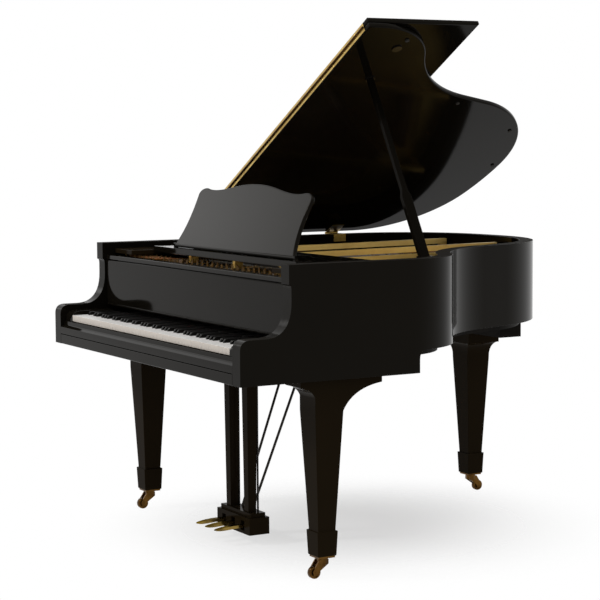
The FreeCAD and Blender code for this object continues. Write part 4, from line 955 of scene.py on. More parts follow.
@dataclass
class LidSet:
    """The lid, standing on its prop, and its front flap folded back on top of it.

    The strip and the knuckles belong to the long hinge between the two boards, whose line is the seam.
    Groove_half is half a groove's width at its mouth and at its floor.
    """

    plan: CasePlan
    gap: float = 5.0
    thick: float = 17.0
    opening: float = 29.5
    barrel: float = 5.0
    barrel_clear: float = 0.5
    flap_line: float = 570.0
    flap_depth: float = 431.0
    seam_side: float = 3.4
    seam_rise: float = 0.6
    ease: float = 4.5
    strip: float = 1.5
    strip_end: float = 30.0
    strip_margin: float = 4.0
    strip_ease: float = 0.4
    knuckle_r: float = 3.0
    knuckles: int = 9
    knuckle_gap: float = 0.3
    knuckle_ease: float = 0.4
    groove_pitch: float = 18.0
    groove: float = 0.5
    groove_half: Pair = (0.6, 0.3)
    groove_clear: float = 2.0
    web_ease: float = 0.2
    screw_pitch: float = 81.0
    screw_share: float = 0.55
    screw: Profile = ((2.6, -0.3), (2.6, 0.1), (2.0, 0.4), (0.8, 0.55))
    sides: int = 10
    prop_ease: float = 2.0
    bracket_ease: float = 1.0

    @property
    def low(self) -> float:
        """Underside of the closed lid."""
        return self.plan.top + self.gap

    @property
    def high(self) -> float:
        """Top of the closed lid."""
        return self.low + self.thick

    @property
    def edge(self) -> float:
        """Half width of the lid."""
        return self.plan.half_width + self.plan.lid_overhang

    @property
    def reach(self) -> float:
        """Half length of the long hinge."""
        return self.edge - self.strip_end

    @property
    def seam_z(self) -> float:
        """Height of the flap's hinge line on the closed lid."""
        return self.high + self.seam_rise

    def opened(self, closed: Points) -> Points:
        """Turn the closed lid's points up about the hinge line on the spine side.

        Args:
            closed: Points of the closed lid.

        Returns:
            The turned points.
        """
        axis = np.array([-(self.edge + self.barrel + self.barrel_clear), 0.0, self.plan.top + self.gap / 2])
        a = math.radians(self.opening)
        turn = np.array([(math.cos(a), 0.0, math.sin(a)), (0.0, 1.0, 0.0), (-math.sin(a), 0.0, math.cos(a))])
        return axis + (closed - axis) @ turn

    def folded(self, closed: Points) -> Points:
        """The closed flap's points turned half round about the seam, then up with the lid."""
        seam = np.array([0.0, self.flap_line, self.seam_z])
        return self.opened(seam + (closed - seam) * (1.0, -1.0, -1.0))

    def leaf(self, side: float) -> Patch:
        """One leaf of the long hinge: a strip on the edge of its board.

        Args:
            side: 1 for the lid's leaf, -1 for the flap's.

        Returns:
            The leaf on the closed lid.
        """
        near = self.flap_line + side * self.seam_side
        far = near + side * self.strip
        band = rectangle(-self.reach, self.reach, self.low + self.strip_margin, self.high)
        return eased_slab(band, 0.0, self.strip, self.strip_ease, turns=2).moved(facing(max(near, far)))

    def barrels(self, side: float, first: int) -> Patch:
        """Every second knuckle of the long hinge, each with the web that holds it to its leaf.

        A knuckle is a lathe shape along x whose radius drops by the groove at every pitch.

        Args:
            side: 1 for the lid's leaf, -1 for the flap's.
            first: The number of its first knuckle.

        Returns:
            The knuckles and webs on the closed lid.
        """
        far = self.flap_line + side * (self.seam_side + self.strip)
        step = 2.0 * self.reach / self.knuckles
        radius = self.knuckle_r
        end = radius - self.knuckle_ease
        deep = radius - self.groove
        mouth, floor = self.groove_half
        parts = []
        for index in range(first, self.knuckles, 2):
            x0 = -self.reach + step * index + self.knuckle_gap
            x1 = x0 + step - 2.0 * self.knuckle_gap
            cuts = np.arange(x0 + self.groove_pitch, x1 - self.groove_clear, self.groove_pitch)
            ring = cuts[:, None] + np.array([-mouth, -floor, floor, mouth])
            size = np.broadcast_to([radius, deep, deep, radius], ring.shape)
            profile = [(end, x0), (radius, x0 + self.knuckle_ease), *zip(size.ravel(), ring.ravel()),
                       (radius, x1 - self.knuckle_ease), (end, x1)]
            parts.append(turned(profile, self.sides).moved(across(0.0, self.flap_line, self.seam_z)))
            web = rectangle(*sorted((self.flap_line, far)), self.seam_z - radius, self.high)
            parts.append(eased_slab(web, x0, x1, self.web_ease, turns=1).moved(across()))
        return joined(parts)

    def screws(self, side: float) -> Patch:
        """A row of screw heads, each a shallow dome, along one leaf of the long hinge.

        Args:
            side: 1 for the lid's leaf, -1 for the flap's.

        Returns:
            The heads on the closed lid.
        """
        near = self.flap_line + side * self.seam_side
        z = self.low + self.thick * self.screw_share
        heads = []
        for x in np.arange(-self.reach + self.screw_pitch / 2, self.reach, self.screw_pitch):
            axes = Axes((x, near, z), (1, 0, 0), (0, 0, side), (0, -side, 0))
            heads.append(turned(self.screw, self.sides).moved(axes))
        return joined(heads)

    def build(self, bench: Bench) -> None:
        """Make the lid, the flap and the long hinge between them, and dress the prop and the small parts.

        Args:
            bench: The bench that makes the pieces.
        """
        clear = self.seam_side + self.strip
        outline = self.plan.outline(self.plan.lid_overhang, self.flap_line + clear)
        board = eased_slab(outline, self.low, self.high, self.ease)
        bench.piece("lid_board", board.moved(self.opened), LID, Body.LID, ["lid_main"])
        outline = rectangle(-self.edge, self.edge, self.flap_line - self.flap_depth, self.flap_line - clear)
        flap = eased_slab(outline, self.low, self.high, self.ease)
        bench.piece("lid_flap", flap.moved(self.folded), LID, Body.FRONT_LID, ["lid_front"])
        main = joined([self.leaf(1.0), self.screws(1.0)]).moved(self.opened)
        bench.piece("long_hinge_lid_leaf", main, BRASS, Body.LID, ["hinge_strip_main"])
        # The barrels' dark brass is painted shade along the seam between the leaves.
        main = self.barrels(1.0, 0).moved(self.opened)
        bench.piece("long_hinge_lid_barrels", main, DARK_BRASS, Body.LID)
        front = joined([self.leaf(-1.0), self.screws(-1.0)]).moved(self.folded)
        bench.piece("long_hinge_flap_leaf", front, BRASS, Body.FRONT_LID, ["hinge_strip_front"])
        # The flap's barrels carry the same painted shade.
        front = self.barrels(-1.0, 1).moved(self.folded)
        bench.piece("long_hinge_flap_barrels", front, DARK_BRASS, Body.FRONT_LID)
        bench.dress(HINGES, "lid_hinge_lid_leaves", "lid_hinge_case_leaves")
        bench.dress(RUBBER, "lid_bumpers")
        bench.dress(IRON, "prop_cups")
        bench.eased("lid_prop", PROP, self.prop_ease)
        bench.eased("prop_bracket", EBONY, self.bracket_ease)


@dataclass
class Keyboard:
    """Fifty-two cream keys and thirty-six black ones.

    Sharps are the places of the black keys in an octave that starts on the lowest note. The nose of a
    black key is given from its front and its top, and nose_foot from its front and the cream tops.
    """

    pitch: float = 23.5
    whites: int = 52
    notes: int = 88
    octave: int = 12
    sharps: tuple[int, ...] = (1, 4, 6, 9, 11)
    middle_c: int = 39
    gap: float = 1.2
    top: float = 736.0
    low: float = 714.0
    front: float = 30.0
    end: float = 425.0
    head: float = 50.0
    ease: float = 0.9
    stick_drop: float = 2.0
    sharp_width: float = 10.5
    sharp_top: float = 748.0
    sharp_end: float = 186.0
    sharp_slope: float = 4.0
    sharp_ease: float = 1.4
    nose: Profile = ((10.0, 0.0), (6.0, -1.2))
    nose_foot: Pair = (1.2, 3.0)

    def is_sharp(self, note: int) -> bool:
        """Whether a note is a black key."""
        return note % self.octave in self.sharps

    def key_x(self, note: int) -> float:
        """Middle of a key's front: half a pitch into its place for a white, between places for a black."""
        before = sum(not self.is_sharp(lower) for lower in range(note))
        return self.pitch * (before + (0.0 if self.is_sharp(note) else 0.5) - self.whites / 2)

    def white(self, note: int) -> Patch:
        """A white key: its plan, with a notch beside each black neighbour, carried up with eased edges.

        Args:
            note: The key's number from the lowest.

        Returns:
            The key.
        """
        x = self.key_x(note)
        half = (self.pitch - self.gap) / 2
        clear = self.sharp_width / 2 + self.gap
        notch = self.front + self.head
        right = [(x + half, self.end)]
        left = [(x - half, self.end)]
        if note + 1 < self.notes and self.is_sharp(note + 1):
            tail = self.key_x(note + 1) - clear
            right = [(x + half, notch), (tail, notch), (tail, self.end)]
        if note > 0 and self.is_sharp(note - 1):
            tail = self.key_x(note - 1) + clear
            left = [(tail, self.end), (tail, notch), (x - half, notch)]
        plan = [(x - half, self.front), (x + half, self.front)] + right + left
        return eased_slab(np.array(plan), self.low, self.top, self.ease, turns=2)

    def black(self, note: int) -> Patch:
        """A black key: its side profile with a sloping nose, carried across with eased edges.

        Args:
            note: The key's number from the lowest.

        Returns:
            The key.
        """
        start = self.front + self.head + self.gap
        stick = self.top - self.stick_drop
        nose = [(start + y, self.sharp_top + z) for y, z in self.nose]
        foot = (start + self.nose_foot[0], self.top + self.nose_foot[1])
        side = [(self.end, self.low), (self.end, stick), (self.sharp_end, stick),
                (self.sharp_end - self.sharp_slope, self.sharp_top), *nose, foot, (start, self.low)]
        x = self.key_x(note)
        half = self.sharp_width / 2
        return eased_slab(np.array(side), x - half, x + half, self.sharp_ease, turns=2).moved(across())

    def build(self, bench: Bench) -> None:
        """Make the key covers and dress what carries them.

        Args:
            bench: The bench that makes the pieces.
        """
        blacks = [note for note in range(self.notes) if self.is_sharp(note)]
        others = sorted(set(range(self.notes)) - set(blacks) - {self.middle_c})
        creams = joined([self.white(note) for note in others])
        bench.piece("cream_keys", creams, CREAM, Body.WHITE_KEYS, ["white_keys"])
        bench.piece("middle_c_cream", self.white(self.middle_c), CREAM, Body.MIDDLE_C, ["middle_c_key"])
        tops = joined([self.black(note) for note in blacks])
        bench.piece("black_key_tops", tops, SATIN, Body.BLACK_KEYS, ["black_keys"])
        # The key frame's black is painted shade under the keys.
        bench.dress(BLACK_STAIN_AND_SHADE, "key_frame")
        bench.dress(BEECH, "action_rails")
        bench.dress(HAMMER, "white_hammers", "black_hammers", "middle_c_hammer")
        bench.dress(DAMPER, "damper_heads")
        bench.dress(WHITE, "damper_felts")


@dataclass
class KeySlip:
    """The board before the keys: a sloping ledge up to a riser, and a shadow gap over the keybed."""

    plan: CasePlan
    thick: float = 20.0
    low: float = 664.0
    top: float = 712.0
    ledge: float = 690.0
    ledge_rise: float = 7.6
    riser: float = 6.0
    hollow: float = 4.0
    shadow: float = 2.4
    ease: float = 1.0
    end_ease: float = 0.1

    def build(self, bench: Bench) -> None:
        """Carry the softened side profile across the case.

        Args:
            bench: The bench that makes the piece.
        """
        front = self.plan.arm_front
        back = front + self.thick
        inner = back - self.riser
        low = self.low + self.shadow
        side = [(front, low), (back, low), (back, self.top), (inner, self.top),
                (inner, self.ledge + self.ledge_rise), (front, self.ledge)]
        radii = [self.ease] * 4 + [self.hollow, self.ease]
        half = self.plan.half_width - self.plan.rim
        board = eased_slab(softened(side, radii), -half, half, self.end_ease, turns=1).moved(across())
        bench.piece("key_slip_board", board, EBONY, Body.CASE, ["key_slip"])


@dataclass
class FallBoard:
    """The board behind the keys, on its two pins, with a lip along its lower edge."""

    plan: CasePlan
    front: float = 191.0
    thick: float = 15.0
    bottom: float = 764.0
    top: float = 927.0
    side: float = 2.0
    pin_r: float = 5.0
    pin_y: float = 203.0
    pin_z: float = 775.0
    pin_sides: int = 16
    reach: float = 7.7
    ease: float = 3.0
    lip_drop: float = 1.0
    lip_high: float = 5.0
    lip_deep: float = 2.5
    lip_sink: float = 1.0
    lip_ease: float = 1.2

    def build(self, bench: Bench) -> None:
        """Make the board with its pins and its lip, and dress its felt.

        Args:
            bench: The bench that makes the piece.
        """
        inner = self.plan.half_width - self.plan.rim
        half = inner - self.side
        board = eased_slab(rectangle(-half, half, self.bottom, self.top), 0.0, self.thick, self.ease)
        edge = rectangle(-half, half, self.bottom - self.lip_drop, self.bottom + self.lip_high)
        lip = eased_slab(edge, -self.ease - self.lip_sink, self.lip_deep, self.lip_ease, turns=3)
        parts = [board.moved(facing(self.front + self.thick)), lip.moved(facing(self.front))]
        length = inner + self.reach - half + self.ease
        pin = turned([(self.pin_r, 0.0), (self.pin_r, length)], self.pin_sides)
        for start in (-inner - self.reach, half - self.ease):
            parts.append(pin.moved(across(start, self.pin_y, self.pin_z)))
        bench.piece("fallboard_panel", joined(parts), EBONY, Body.FALLBOARD, ["fallboard"])
        bench.dress(RED, "fallboard_felt")


@dataclass
class MusicDesk:
    """The leaning desk with its scrolled top, its strut and the sliding tray.

    Side_pull to crest are the poles of the right edge's four curves, and steps their points.
    """

    hinge_y: float = 360.0
    hinge_z: float = 985.3
    lean: float = 25.0
    thick: float = 14.0
    foot: float = 431.0
    foot_sides: int = 24
    side_pull: Pair = (387.5, 77.5)
    shoulder: Pair = (403.0, 190.0)
    crown: Profile = ((409.0, 211.0), (383.0, 225.0), (349.0, 222.0))
    hollow: Profile = ((323.0, 216.0), (291.0, 216.0), (261.0, 218.0))
    crest: Profile = ((186.0, 223.0), (116.0, 245.0), (0.0, 245.0))
    steps: tuple[int, ...] = (14, 12, 10, 20)
    ease: float = 3.5
    lug: float = 10.0
    pin_r: float = 3.0
    pin_sides: int = 12
    strut_half: float = 30.3
    strut_arm: float = 105.0
    strut_offset: float = 12.5
    ear_half: float = 5.0
    ear_sink: float = 1.0
    ear_ease: float = 1.0
    axle_past: float = 1.0
    board_ease: float = 1.5

    def axes(self) -> Axes:
        """Axes of the leaning board: u along the hinge, v up the board, w out of its front."""
        a = math.radians(self.lean)
        return Axes((0.0, self.hinge_y, self.hinge_z), (1, 0, 0), (0, math.sin(a), math.cos(a)),
                    (0, -math.cos(a), math.sin(a)))

    def outline(self) -> Points:
        """Anticlockwise edge of the board: four Bezier curves up the right side, mirrored down the left.

        Returns:
            The points of the edge.
        """
        runs = [np.array([(self.foot, 0.0)])]
        curves = ((self.side_pull, self.shoulder), self.crown, self.hollow, self.crest)
        for poles, count in zip(curves, self.steps):
            runs.append(bezier([tuple(runs[-1][-1]), *poles], count))
        right = np.concatenate(runs)
        return np.concatenate([right, (right[:-1] * (-1.0, 1.0))[::-1]])

    def rod(self, radius: float, half: float, sides: int) -> Patch:
        """A round rod along the hinge, this far to each side of the middle."""
        return turned([(radius, -half), (radius, half)], sides).moved(across())

    def build(self, bench: Bench) -> None:
        """Make the desk board with its foot, its ears and their pins, and dress the tray and the strut.

        Args:
            bench: The bench that makes the pieces.
        """
        half = self.thick / 2
        back = -self.strut_offset
        parts = [eased_slab(self.outline(), -half, half, self.ease),
                 self.rod(half, self.foot, self.foot_sides),
                 self.rod(self.pin_r, self.foot + self.lug, self.pin_sides)]
        for x in (-self.strut_half - self.lug, self.strut_half):
            ear = rectangle(x, x + self.lug, self.strut_arm - self.ear_half, self.strut_arm + self.ear_half)
            parts.append(eased_slab(ear, back - self.ear_half, -half + self.ear_sink, self.ear_ease, turns=2))
        axle = self.rod(self.pin_r, self.strut_half + self.axle_past, self.pin_sides)
        parts.append(axle.moved(Axes((0.0, self.strut_arm, back))))
        bench.piece("desk_panel", joined(parts).moved(self.axes()), EBONY, Body.DESK, ["music_desk"])
        bench.eased("music_tray", RAIL, self.board_ease)
        bench.eased("desk_strut", EBONY, self.board_ease)


@dataclass
class Stringing:
    """Tuning pins, hitch pins, string felts and plate bolts over the iron plate.

    Breaks are the first notes after the gaps between the sections of strings; the notes before the
    first break are the wound bass strings. In the profiles, coil is given from a pin's side and its
    string, pin_head from the side and the pin's top, and hitch_head from the side and its own top.
    """

    plan: CasePlan
    strike_y: float = 411.0
    span: float = 1200.0
    section_break: float = 40.0
    breaks: tuple[int, ...] = (20, 44, 67)
    notes: int = 88
    plain_z: float = 929.0
    plain_r: float = 0.6
    plain_slant: float = -0.12
    bass_z: float = 941.0
    bass_r: float = 2.0
    bass_slant: float = 0.22
    web_top: float = 920.0
    plate_top: float = 890.0
    pin_r: float = 3.4
    pin_row_y: float = 252.0
    pin_row_step: float = 34.0
    pin_rows: int = 3
    pin_top: float = 948.0
    pin_clear: float = 0.2
    pin_sides: int = 8
    coil: Profile = ((0.0, -3.6), (0.9, -3.2), (0.9, 0.8), (0.0, 1.2))
    pin_head: Profile = ((0.0, -3.0), (-0.9, -2.4), (-0.9, 0.0))
    hitch_near: float = 600.0
    hitch_run: float = 800.0
    hitch_bend: float = 1.6
    bass_hitch: float = 1480.0
    bass_hitch_step: float = 2.0
    hitch_r: float = 1.8
    hitch_proud: float = 2.0
    hitch_sides: int = 6
    hitch_head: Profile = ((0.0, -0.5), (-0.6, 0.0))
    felt_y: float = 338.0
    felt_wide: float = 20.0
    felt_margin: float = 15.0
    felt_gap: float = 4.0
    felt_clear: float = 0.4
    bass_felt_ease: float = 3.0
    plain_felt_ease: float = 2.0
    bolt_pitch: float = 150.0
    bolt_inset: float = 24.0
    bolt_start: float = 560.0
    front_row: float = 237.0
    front_bolts: int = 9
    bolt: Profile = ((10.0, 0.0), (10.0, 1.6), (7.0, 1.8), (7.0, 4.0), (5.6, 5.6), (2.5, 6.4))
    bolt_sides: int = 14
    plate_ease: float = 2.5
    bridge_ease: float = 1.5

    def note_x(self, note: int, y: float) -> float:
        """Where a note's string lies at y: even steps, a gap at each break, and the section's slant.

        Args:
            note: The note's number from the lowest.
            y: How far along the case.

        Returns:
            The string's x.
        """
        step = (self.span - len(self.breaks) * self.section_break) / (self.notes - 1 - len(self.breaks))
        passed = sum(note >= first for first in self.breaks)
        slant = self.bass_slant if note < self.breaks[0] else self.plain_slant
        at_strike = -self.span / 2 + step * note + (self.section_break - step) * passed
        return at_strike + slant * (y - self.strike_y)

    def pins(self) -> Patch:
        """A tuning pin with its coil of wire and a narrower head, and a hitch pin, for every note.

        Returns:
            The pins.
        """
        r = self.pin_r
        last = self.notes - 1
        parts = []
        for note in range(self.notes):
            bass = note < self.breaks[0]
            z, radius = (self.bass_z, self.bass_r) if bass else (self.plain_z, self.plain_r)
            pin = [(r, self.web_top)]
            pin += [(r + out, z + rise) for out, rise in self.coil]
            pin += [(r + out, self.pin_top + rise) for out, rise in self.pin_head]
            y = self.pin_row_y + self.pin_row_step * (note % self.pin_rows)
            x = self.note_x(note, y) + r + radius + self.pin_clear
            parts.append(turned(pin, self.pin_sides).moved(Axes((x, y, 0.0))))
            far = self.bass_hitch - self.bass_hitch_step * note
            if not bass:
                share = (last - note) / (last - self.breaks[0])
                far = self.hitch_near + self.hitch_run * share ** self.hitch_bend
            y = far - self.hitch_r
            x = self.note_x(note, y) + self.hitch_r + radius + self.pin_clear
            top = z + radius + self.hitch_proud
            stud = [(self.hitch_r, self.plate_top)]
            stud += [(self.hitch_r + out, top + rise) for out, rise in self.hitch_head]
            parts.append(turned(stud, self.hitch_sides).moved(Axes((x, y, 0.0))))
        return joined(parts)

    def felts(self) -> Patch:
        """A strip of felt under the plain strings and a thicker one under the wound strings.

        Returns:
            The two strips.
        """
        edge = (self.note_x(self.breaks[0] - 1, self.felt_y) + self.note_x(self.breaks[0], self.felt_y)) / 2
        side = self.span / 2 + self.felt_margin
        ends = (self.felt_y, self.felt_y + self.felt_wide)
        bass = rectangle(-side, edge - self.felt_gap, *ends)
        bass_top = self.bass_z - self.bass_r - self.felt_clear
        plain = rectangle(edge + self.felt_gap, side, *ends)
        plain_top = self.plain_z - self.plain_r - self.felt_clear
        return joined([eased_slab(bass, self.web_top, bass_top, self.bass_felt_ease, turns=3),
                       eased_slab(plain, self.web_top, plain_top, self.plain_felt_ease, turns=3)])

    def bolts(self) -> Patch:
        """Domed bolts on washers, a pitch apart along a line inside the rim and along the front of the web.

        Returns:
            The bolts.
        """
        path = self.plan.outline(-self.plan.rim - self.bolt_inset, self.bolt_start)[:-1]
        run = np.concatenate([[0.0], np.cumsum(np.linalg.norm(np.diff(path, axis=0), axis=1))])
        at = np.arange(self.bolt_pitch / 2, run[-1], self.bolt_pitch)
        round_rim = zip(np.interp(at, run, path[:, 0]), np.interp(at, run, path[:, 1]))
        front = (np.arange(self.front_bolts) - self.front_bolts // 2) * self.bolt_pitch
        spots = [(x, y, self.plate_top) for x, y in round_rim]
        spots += [(x, self.front_row, self.web_top) for x in front]
        return joined([turned(self.bolt, self.bolt_sides).moved(Axes(spot)) for spot in spots])

    def build(self, bench: Bench) -> None:
        """Make the small parts and dress the plate, the strings and the boards.

        Args:
            bench: The bench that makes the pieces.
        """
        # The pins' dark brown is painted shade.
        bench.piece("tuning_and_hitch_pins", self.pins(), SHADED_PIN_STEEL, Body.CASE, ["string_pins"])
        bench.piece("string_felts", self.felts(), BROWN, Body.CASE)
        bench.piece("plate_bolts", self.bolts(), GOLD, Body.CASE)
        bench.eased("iron_plate", GOLD, self.plate_ease)
        bench.dress(STEEL, "plain_strings")
        bench.dress(COPPER, "wound_strings")
        bench.eased("bridges", MAPLE, self.bridge_ease)
        bench.dress(SPRUCE, "soundboard", "soundboard_ribs")
        bench.dress(MAPLE, "pinblock")
        bench.dress(BLACK_STAIN_AND_SHADE, "inner_rim", "case_beams")


@dataclass
class Casters:
    """Three brass casters.

    A spot is a name, the stem's x and y and the way that its wheel trails. Rises of the hub and the
    tread are measured in from the wheel's side and those of the groove from its middle; the radii of
    the tread and the groove are measured from the wheel's own.
    """

    spots: tuple[tuple[str, Pair, float], ...] = (
        ("front_left", (-635.0, 336.0), 1.0), ("front_right", (635.0, 336.0), 1.0), ("rear", REAR_LEG, -1.0))
    wheel_r: float = 20.0
    wheel_wide: float = 20.0
    wheel_sides: int = 40
    trail: float = 30.0
    off_floor: float = 0.01
    hub: Profile = ((7.0, 0.0), (7.4, 0.4), (7.6, 2.4), (13.0, 2.6), (14.0, 0.4), (15.6, 0.0), (18.2, 0.9))
    tread: Profile = ((-0.5, 2.6), (0.0, 4.6))
    groove: Profile = ((0.0, -3.4), (-0.7, -3.0), (-0.7, -2.4), (0.0, -2.0))
    fork_ease: float = 1.2

    def wheel(self, stem: Pair, way: float) -> Patch:
        """A wheel as a lathe shape on its axle: hub, dished web and a tread with two fine grooves.

        Args:
            stem: The stem's x and y.
            way: 1 for a wheel that trails forward, -1 for one that trails back.

        Returns:
            The wheel.
        """
        r = self.wheel_r - self.off_floor
        half = self.wheel_wide / 2
        near = [(radius, rise - half) for radius, rise in self.hub]
        near += [(r + out, rise - half) for out, rise in self.tread]
        near += [(r + out, rise) for out, rise in self.groove]
        profile = near + [(radius, -rise) for radius, rise in reversed(near)]
        axle = across(stem[0], stem[1] - way * self.trail, self.wheel_r)
        return turned(profile, self.wheel_sides).moved(axle)

    def build(self, bench: Bench) -> None:
        """Make the wheels and dress the forks and plates.

        Args:
            bench: The bench that makes the pieces.
        """
        for name, stem, way in self.spots:
            node = "caster_wheel_" + name
            bench.piece("tread_" + name, self.wheel(stem, way), DARK_BRASS, Wheel(node), [node])
            bench.eased("caster_fork_" + name, DARK_BRASS, self.fork_ease)
        bench.dress(DARK_BRASS, "caster_plates")


@dataclass
class CaseWork:
    """The polished case, its legs and the pedal lyre, each with eased edges.

    Eases hold a node, its finish and the width of its rounding. The rod's foot is in rod radii.
    """

    eases: tuple[tuple[str, Finish, float], ...] = (
        ("outer_rim", RIM, 4.0), ("keybed", EBONY, 2.5), ("key_blocks", EBONY, 2.0), ("stretcher", RAIL, 2.0),
        ("desk_rails", LEGS, 1.5), ("leg_front_left", LEGS, 2.5), ("leg_front_right", LEGS, 2.5),
        ("leg_rear", LEGS, 2.5), ("lyre_posts", LEGS, 2.0), ("pedal_box", LEGS, 2.0))
    turns: int = 3
    pedals: tuple[str, ...] = ("left", "middle", "right")
    pedal_ease: float = 3.0
    pedal_pitch: float = 68.0
    rod_y: float = 414.0
    rod_r: float = 3.5
    rod_low: float = 63.3
    rod_top: float = 620.0
    rod_foot: Profile = ((0.35, 0.0), (0.75, 0.3), (1.0, 1.0))
    rod_ease: float = 0.6
    rod_sides: int = 16
    head_half: float = 49.8
    head_flare: Pair = (36.0, 20.0)
    head_low: float = 530.0
    head_cove: float = 584.0
    head_top: float = 625.0
    head_turns: int = 10

    def rear_leg_head(self) -> Patch:
        """The coved head of the rear leg, a stack of rectangles.

        Over a quarter turn a, the half sizes grow by flare * (1 - cos a) while the height rises by
        cove * sin a; the last rectangle stands straight above.

        Returns:
            The closed head.
        """
        a = np.linspace(0.0, math.pi / 2, self.head_turns + 1)
        grow = np.append(1.0 - np.cos(a), 1.0)
        heights = np.append(self.head_low + (self.head_cove - self.head_low) * np.sin(a), self.head_top)
        half = self.head_half + grow[:, None] * np.array(self.head_flare)
        return stacked(np.array(REAR_LEG) + rectangle(-1.0, 1.0, -1.0, 1.0)[None] * half[:, None], heights)

    def rod(self, x: float) -> Patch:
        """A pedal rod as a lathe shape with a rounded foot and an eased top.

        Args:
            x: Where the rod stands.

        Returns:
            The rod.
        """
        r = self.rod_r
        profile = [(r * out, self.rod_low + r * rise) for out, rise in self.rod_foot]
        profile += [(r, self.rod_top - self.rod_ease), (r - self.rod_ease, self.rod_top)]
        return turned(profile, self.rod_sides).moved(Axes((x, self.rod_y, 0.0)))

    def build(self, bench: Bench) -> None:
        """Ease the black pieces and the pedals and make the rear leg's head and the rods.

        Args:
            bench: The bench that makes the pieces.
        """
        for node, finish, width in self.eases:
            bench.eased(node, finish, width, self.turns)
        bench.piece("rear_leg_head", self.rear_leg_head(), LEGS, Body.CASE)
        for place, name in enumerate(self.pedals):
            bench.eased("pedal_" + name, PEDAL, self.pedal_ease, self.turns)
            body = Rod("pedal_rod_" + name)
            bench.piece("wire_" + name, self.rod(self.pedal_pitch * (place - 1)), IRON, body, [body.value])
        bench.dress(IRON, "lyre_braces")


# Surroundings

@dataclass(frozen=True)
class Lamp:
    """A square lamp at a spot, aimed at a point, with the width of its beam in degrees."""

    name: str
    spot: Triple
    aim: Triple
    size: float
    power: float
    beam: float = 180.0


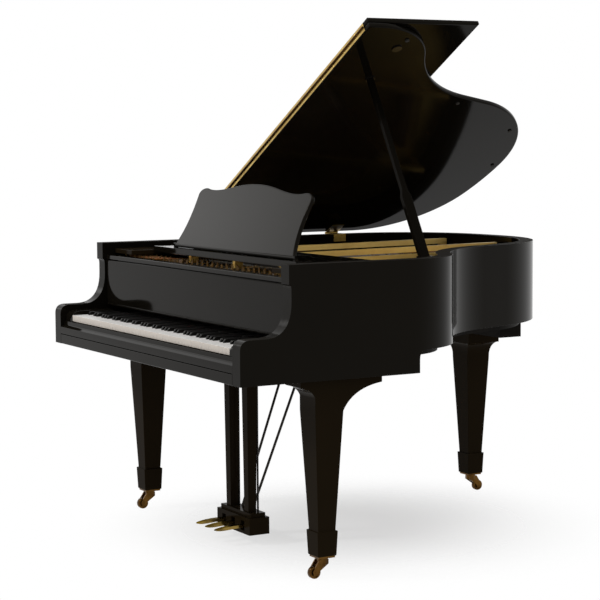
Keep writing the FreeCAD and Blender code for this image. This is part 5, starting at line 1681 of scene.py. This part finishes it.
@dataclass
class Studio:
    """Pale floor, white surroundings, soft lamps and the camera.

    Lengths are in metres, yaw, pitch and roll in radians. Ambient is the white surroundings' strength
    as light on surfaces, glow the floor's own share of white, and fade where the floor starts and
    ends to clear away.
    """

    camera_at: Triple = (5.516, -3.339, 1.373)
    yaw: float = 1.055
    pitch: float = 0.089
    roll: float = -0.006
    focal_pixels: float = 1842.7
    frame_pixels: float = 600.0
    sensor: float = 36.0
    sight: float = 100.0
    floor_radius: float = 9.0
    floor_sides: int = 96
    floor_tone: float = 0.93
    fade: Pair = (0.15, 1.0)
    ambient: float = 0.50
    glow: float = 0.55
    white: tuple[float, float, float, float] = (1.0, 1.0, 1.0, 1.0)
    lamps: tuple[Lamp, ...] = (
        Lamp("overhead", (0.6, -0.4, 5.2), (0.0, 0.0, 0.0), 4.0, 120.0),
        Lamp("left", (-4.9, -2.0, 2.64), (-0.43, -0.42, 1.1), 2.6, 0.28, 16.0),
        Lamp("front", (-1.6, -4.6, 3.6), (0.0, 0.0, 0.7), 0.7, 80.0))

    @staticmethod
    def seen(shader: Shader) -> Value:
        """One for rays from the eye, in reflections and through glass, and zero for light on surfaces.

        Args:
            shader: The shader that asks.

        Returns:
            The share.
        """
        names = ("Is Camera Ray", "Is Glossy Ray", "Is Transmission Ray")
        rays = [shader.node("ShaderNodeLightPath", {}, {}, name) for name in names]
        return shader.step(rays[0] + rays[1] + rays[2], 0.0, 1.0)

    def world(self) -> None:
        """White to the eye, in reflections and through glass; softer as light on matt surfaces."""
        world = bpy.data.worlds.new("studio")
        world.use_nodes = True
        bpy.context.scene.world = world
        shader = Shader(world.node_tree)
        strength = self.ambient + (1.0 - self.ambient) * self.seen(shader)
        back = shader.node("ShaderNodeBackground", {}, {"Color": self.white, "Strength": strength})
        shader.node("ShaderNodeOutputWorld", {}, {"Surface": back})

    def floor(self) -> None:
        """A pale disc that fades out with distance: share = smooth step of the distance from its middle."""
        ring = np.pad(circle(self.floor_sides), ((0, 0), (0, 1))) * self.floor_radius
        mesh = bpy.data.meshes.new("floor")
        mesh.from_pydata(ring, [], [list(range(self.floor_sides))])
        paint = bpy.data.materials.new("pale_floor")
        paint.use_nodes = True
        shader = Shader(paint.node_tree)
        away = shader.node("ShaderNodeVectorMath", {"operation": "LENGTH"}, {0: shader.place()}, "Value")
        matt = shader.node("ShaderNodeBsdfDiffuse", {}, {"Color": (*[self.floor_tone] * 3, 1.0)})
        white = shader.node("ShaderNodeEmission", {}, {"Color": self.white, "Strength": 1.0})
        lit = shader.node("ShaderNodeMixShader", {}, {0: self.glow * self.seen(shader), 1: matt, 2: white})
        clear = shader.node("ShaderNodeBsdfTransparent", {}, {})
        skin = shader.node("ShaderNodeMixShader", {}, {0: shader.step(away, *self.fade), 1: lit, 2: clear})
        shader.node("ShaderNodeOutputMaterial", {}, {"Surface": skin})
        mesh.materials.append(paint)
        placed("floor", mesh)

    def light(self) -> None:
        """Large square lamps, each aimed at its point."""
        for lamp in self.lamps:
            light = bpy.data.lights.new(lamp.name, "AREA")
            light.size = lamp.size
            light.energy = lamp.power
            light.spread = math.radians(lamp.beam)
            back = np.array(lamp.spot) - np.array(lamp.aim)
            made = placed(lamp.name, light)
            made.matrix_world = self.looking(lamp.spot, back / np.linalg.norm(back), 0.0)

    @staticmethod
    def looking(spot: Sequence[float], back: Points, roll: float) -> Matrix:
        """The matrix of something at a spot whose -Z looks away from back, rolled about its own line.

        Args:
            spot: Its place.
            back: Unit direction behind it.
            roll: Turn about its own line, in radians.

        Returns:
            The world matrix.
        """
        right = np.cross((0.0, 0.0, 1.0), back)
        right = right / np.linalg.norm(right)
        up = np.cross(back, right)
        side = math.cos(roll) * right + math.sin(roll) * up
        rows = np.eye(4)
        rows[:3] = np.stack([side, np.cross(back, side), back, spot], axis=1)
        return Matrix(rows.tolist())

    def camera(self) -> None:
        """The camera at the photograph's place, with its lens worked out from the focal length in pixels."""
        eye = bpy.data.cameras.new("camera")
        eye.sensor_width = self.sensor
        eye.lens = self.focal_pixels / self.frame_pixels * self.sensor
        eye.clip_end = self.sight
        level = math.cos(self.pitch)
        back = np.array([math.sin(self.yaw) * level, -math.cos(self.yaw) * level, math.sin(self.pitch)])
        made = placed("camera", eye)
        made.matrix_world = self.looking(self.camera_at, back, self.roll)
        bpy.context.scene.camera = made

    def build(self) -> None:
        """Set up the world, the floor, the lamps and the camera."""
        bpy.context.scene.view_settings.view_transform = "Standard"
        self.world()
        self.floor()
        self.light()
        self.camera()


def write_sizes() -> None:
    """Update the view layer."""
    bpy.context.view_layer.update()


def main() -> None:
    """Build every sub-assembly in order, then the studio round them."""
    logging.basicConfig(level=logging.INFO, format="%(name)s %(message)s")
    plan = CasePlan()
    bench = Bench(plan.middle)
    for assembly in (CaseWork(), LidSet(plan), Keyboard(), KeySlip(plan), FallBoard(plan), MusicDesk(),
                     Stringing(plan), Casters()):
        assembly.build(bench)
    Studio().build()
    write_sizes()


if __name__ == "__main__":
    main()
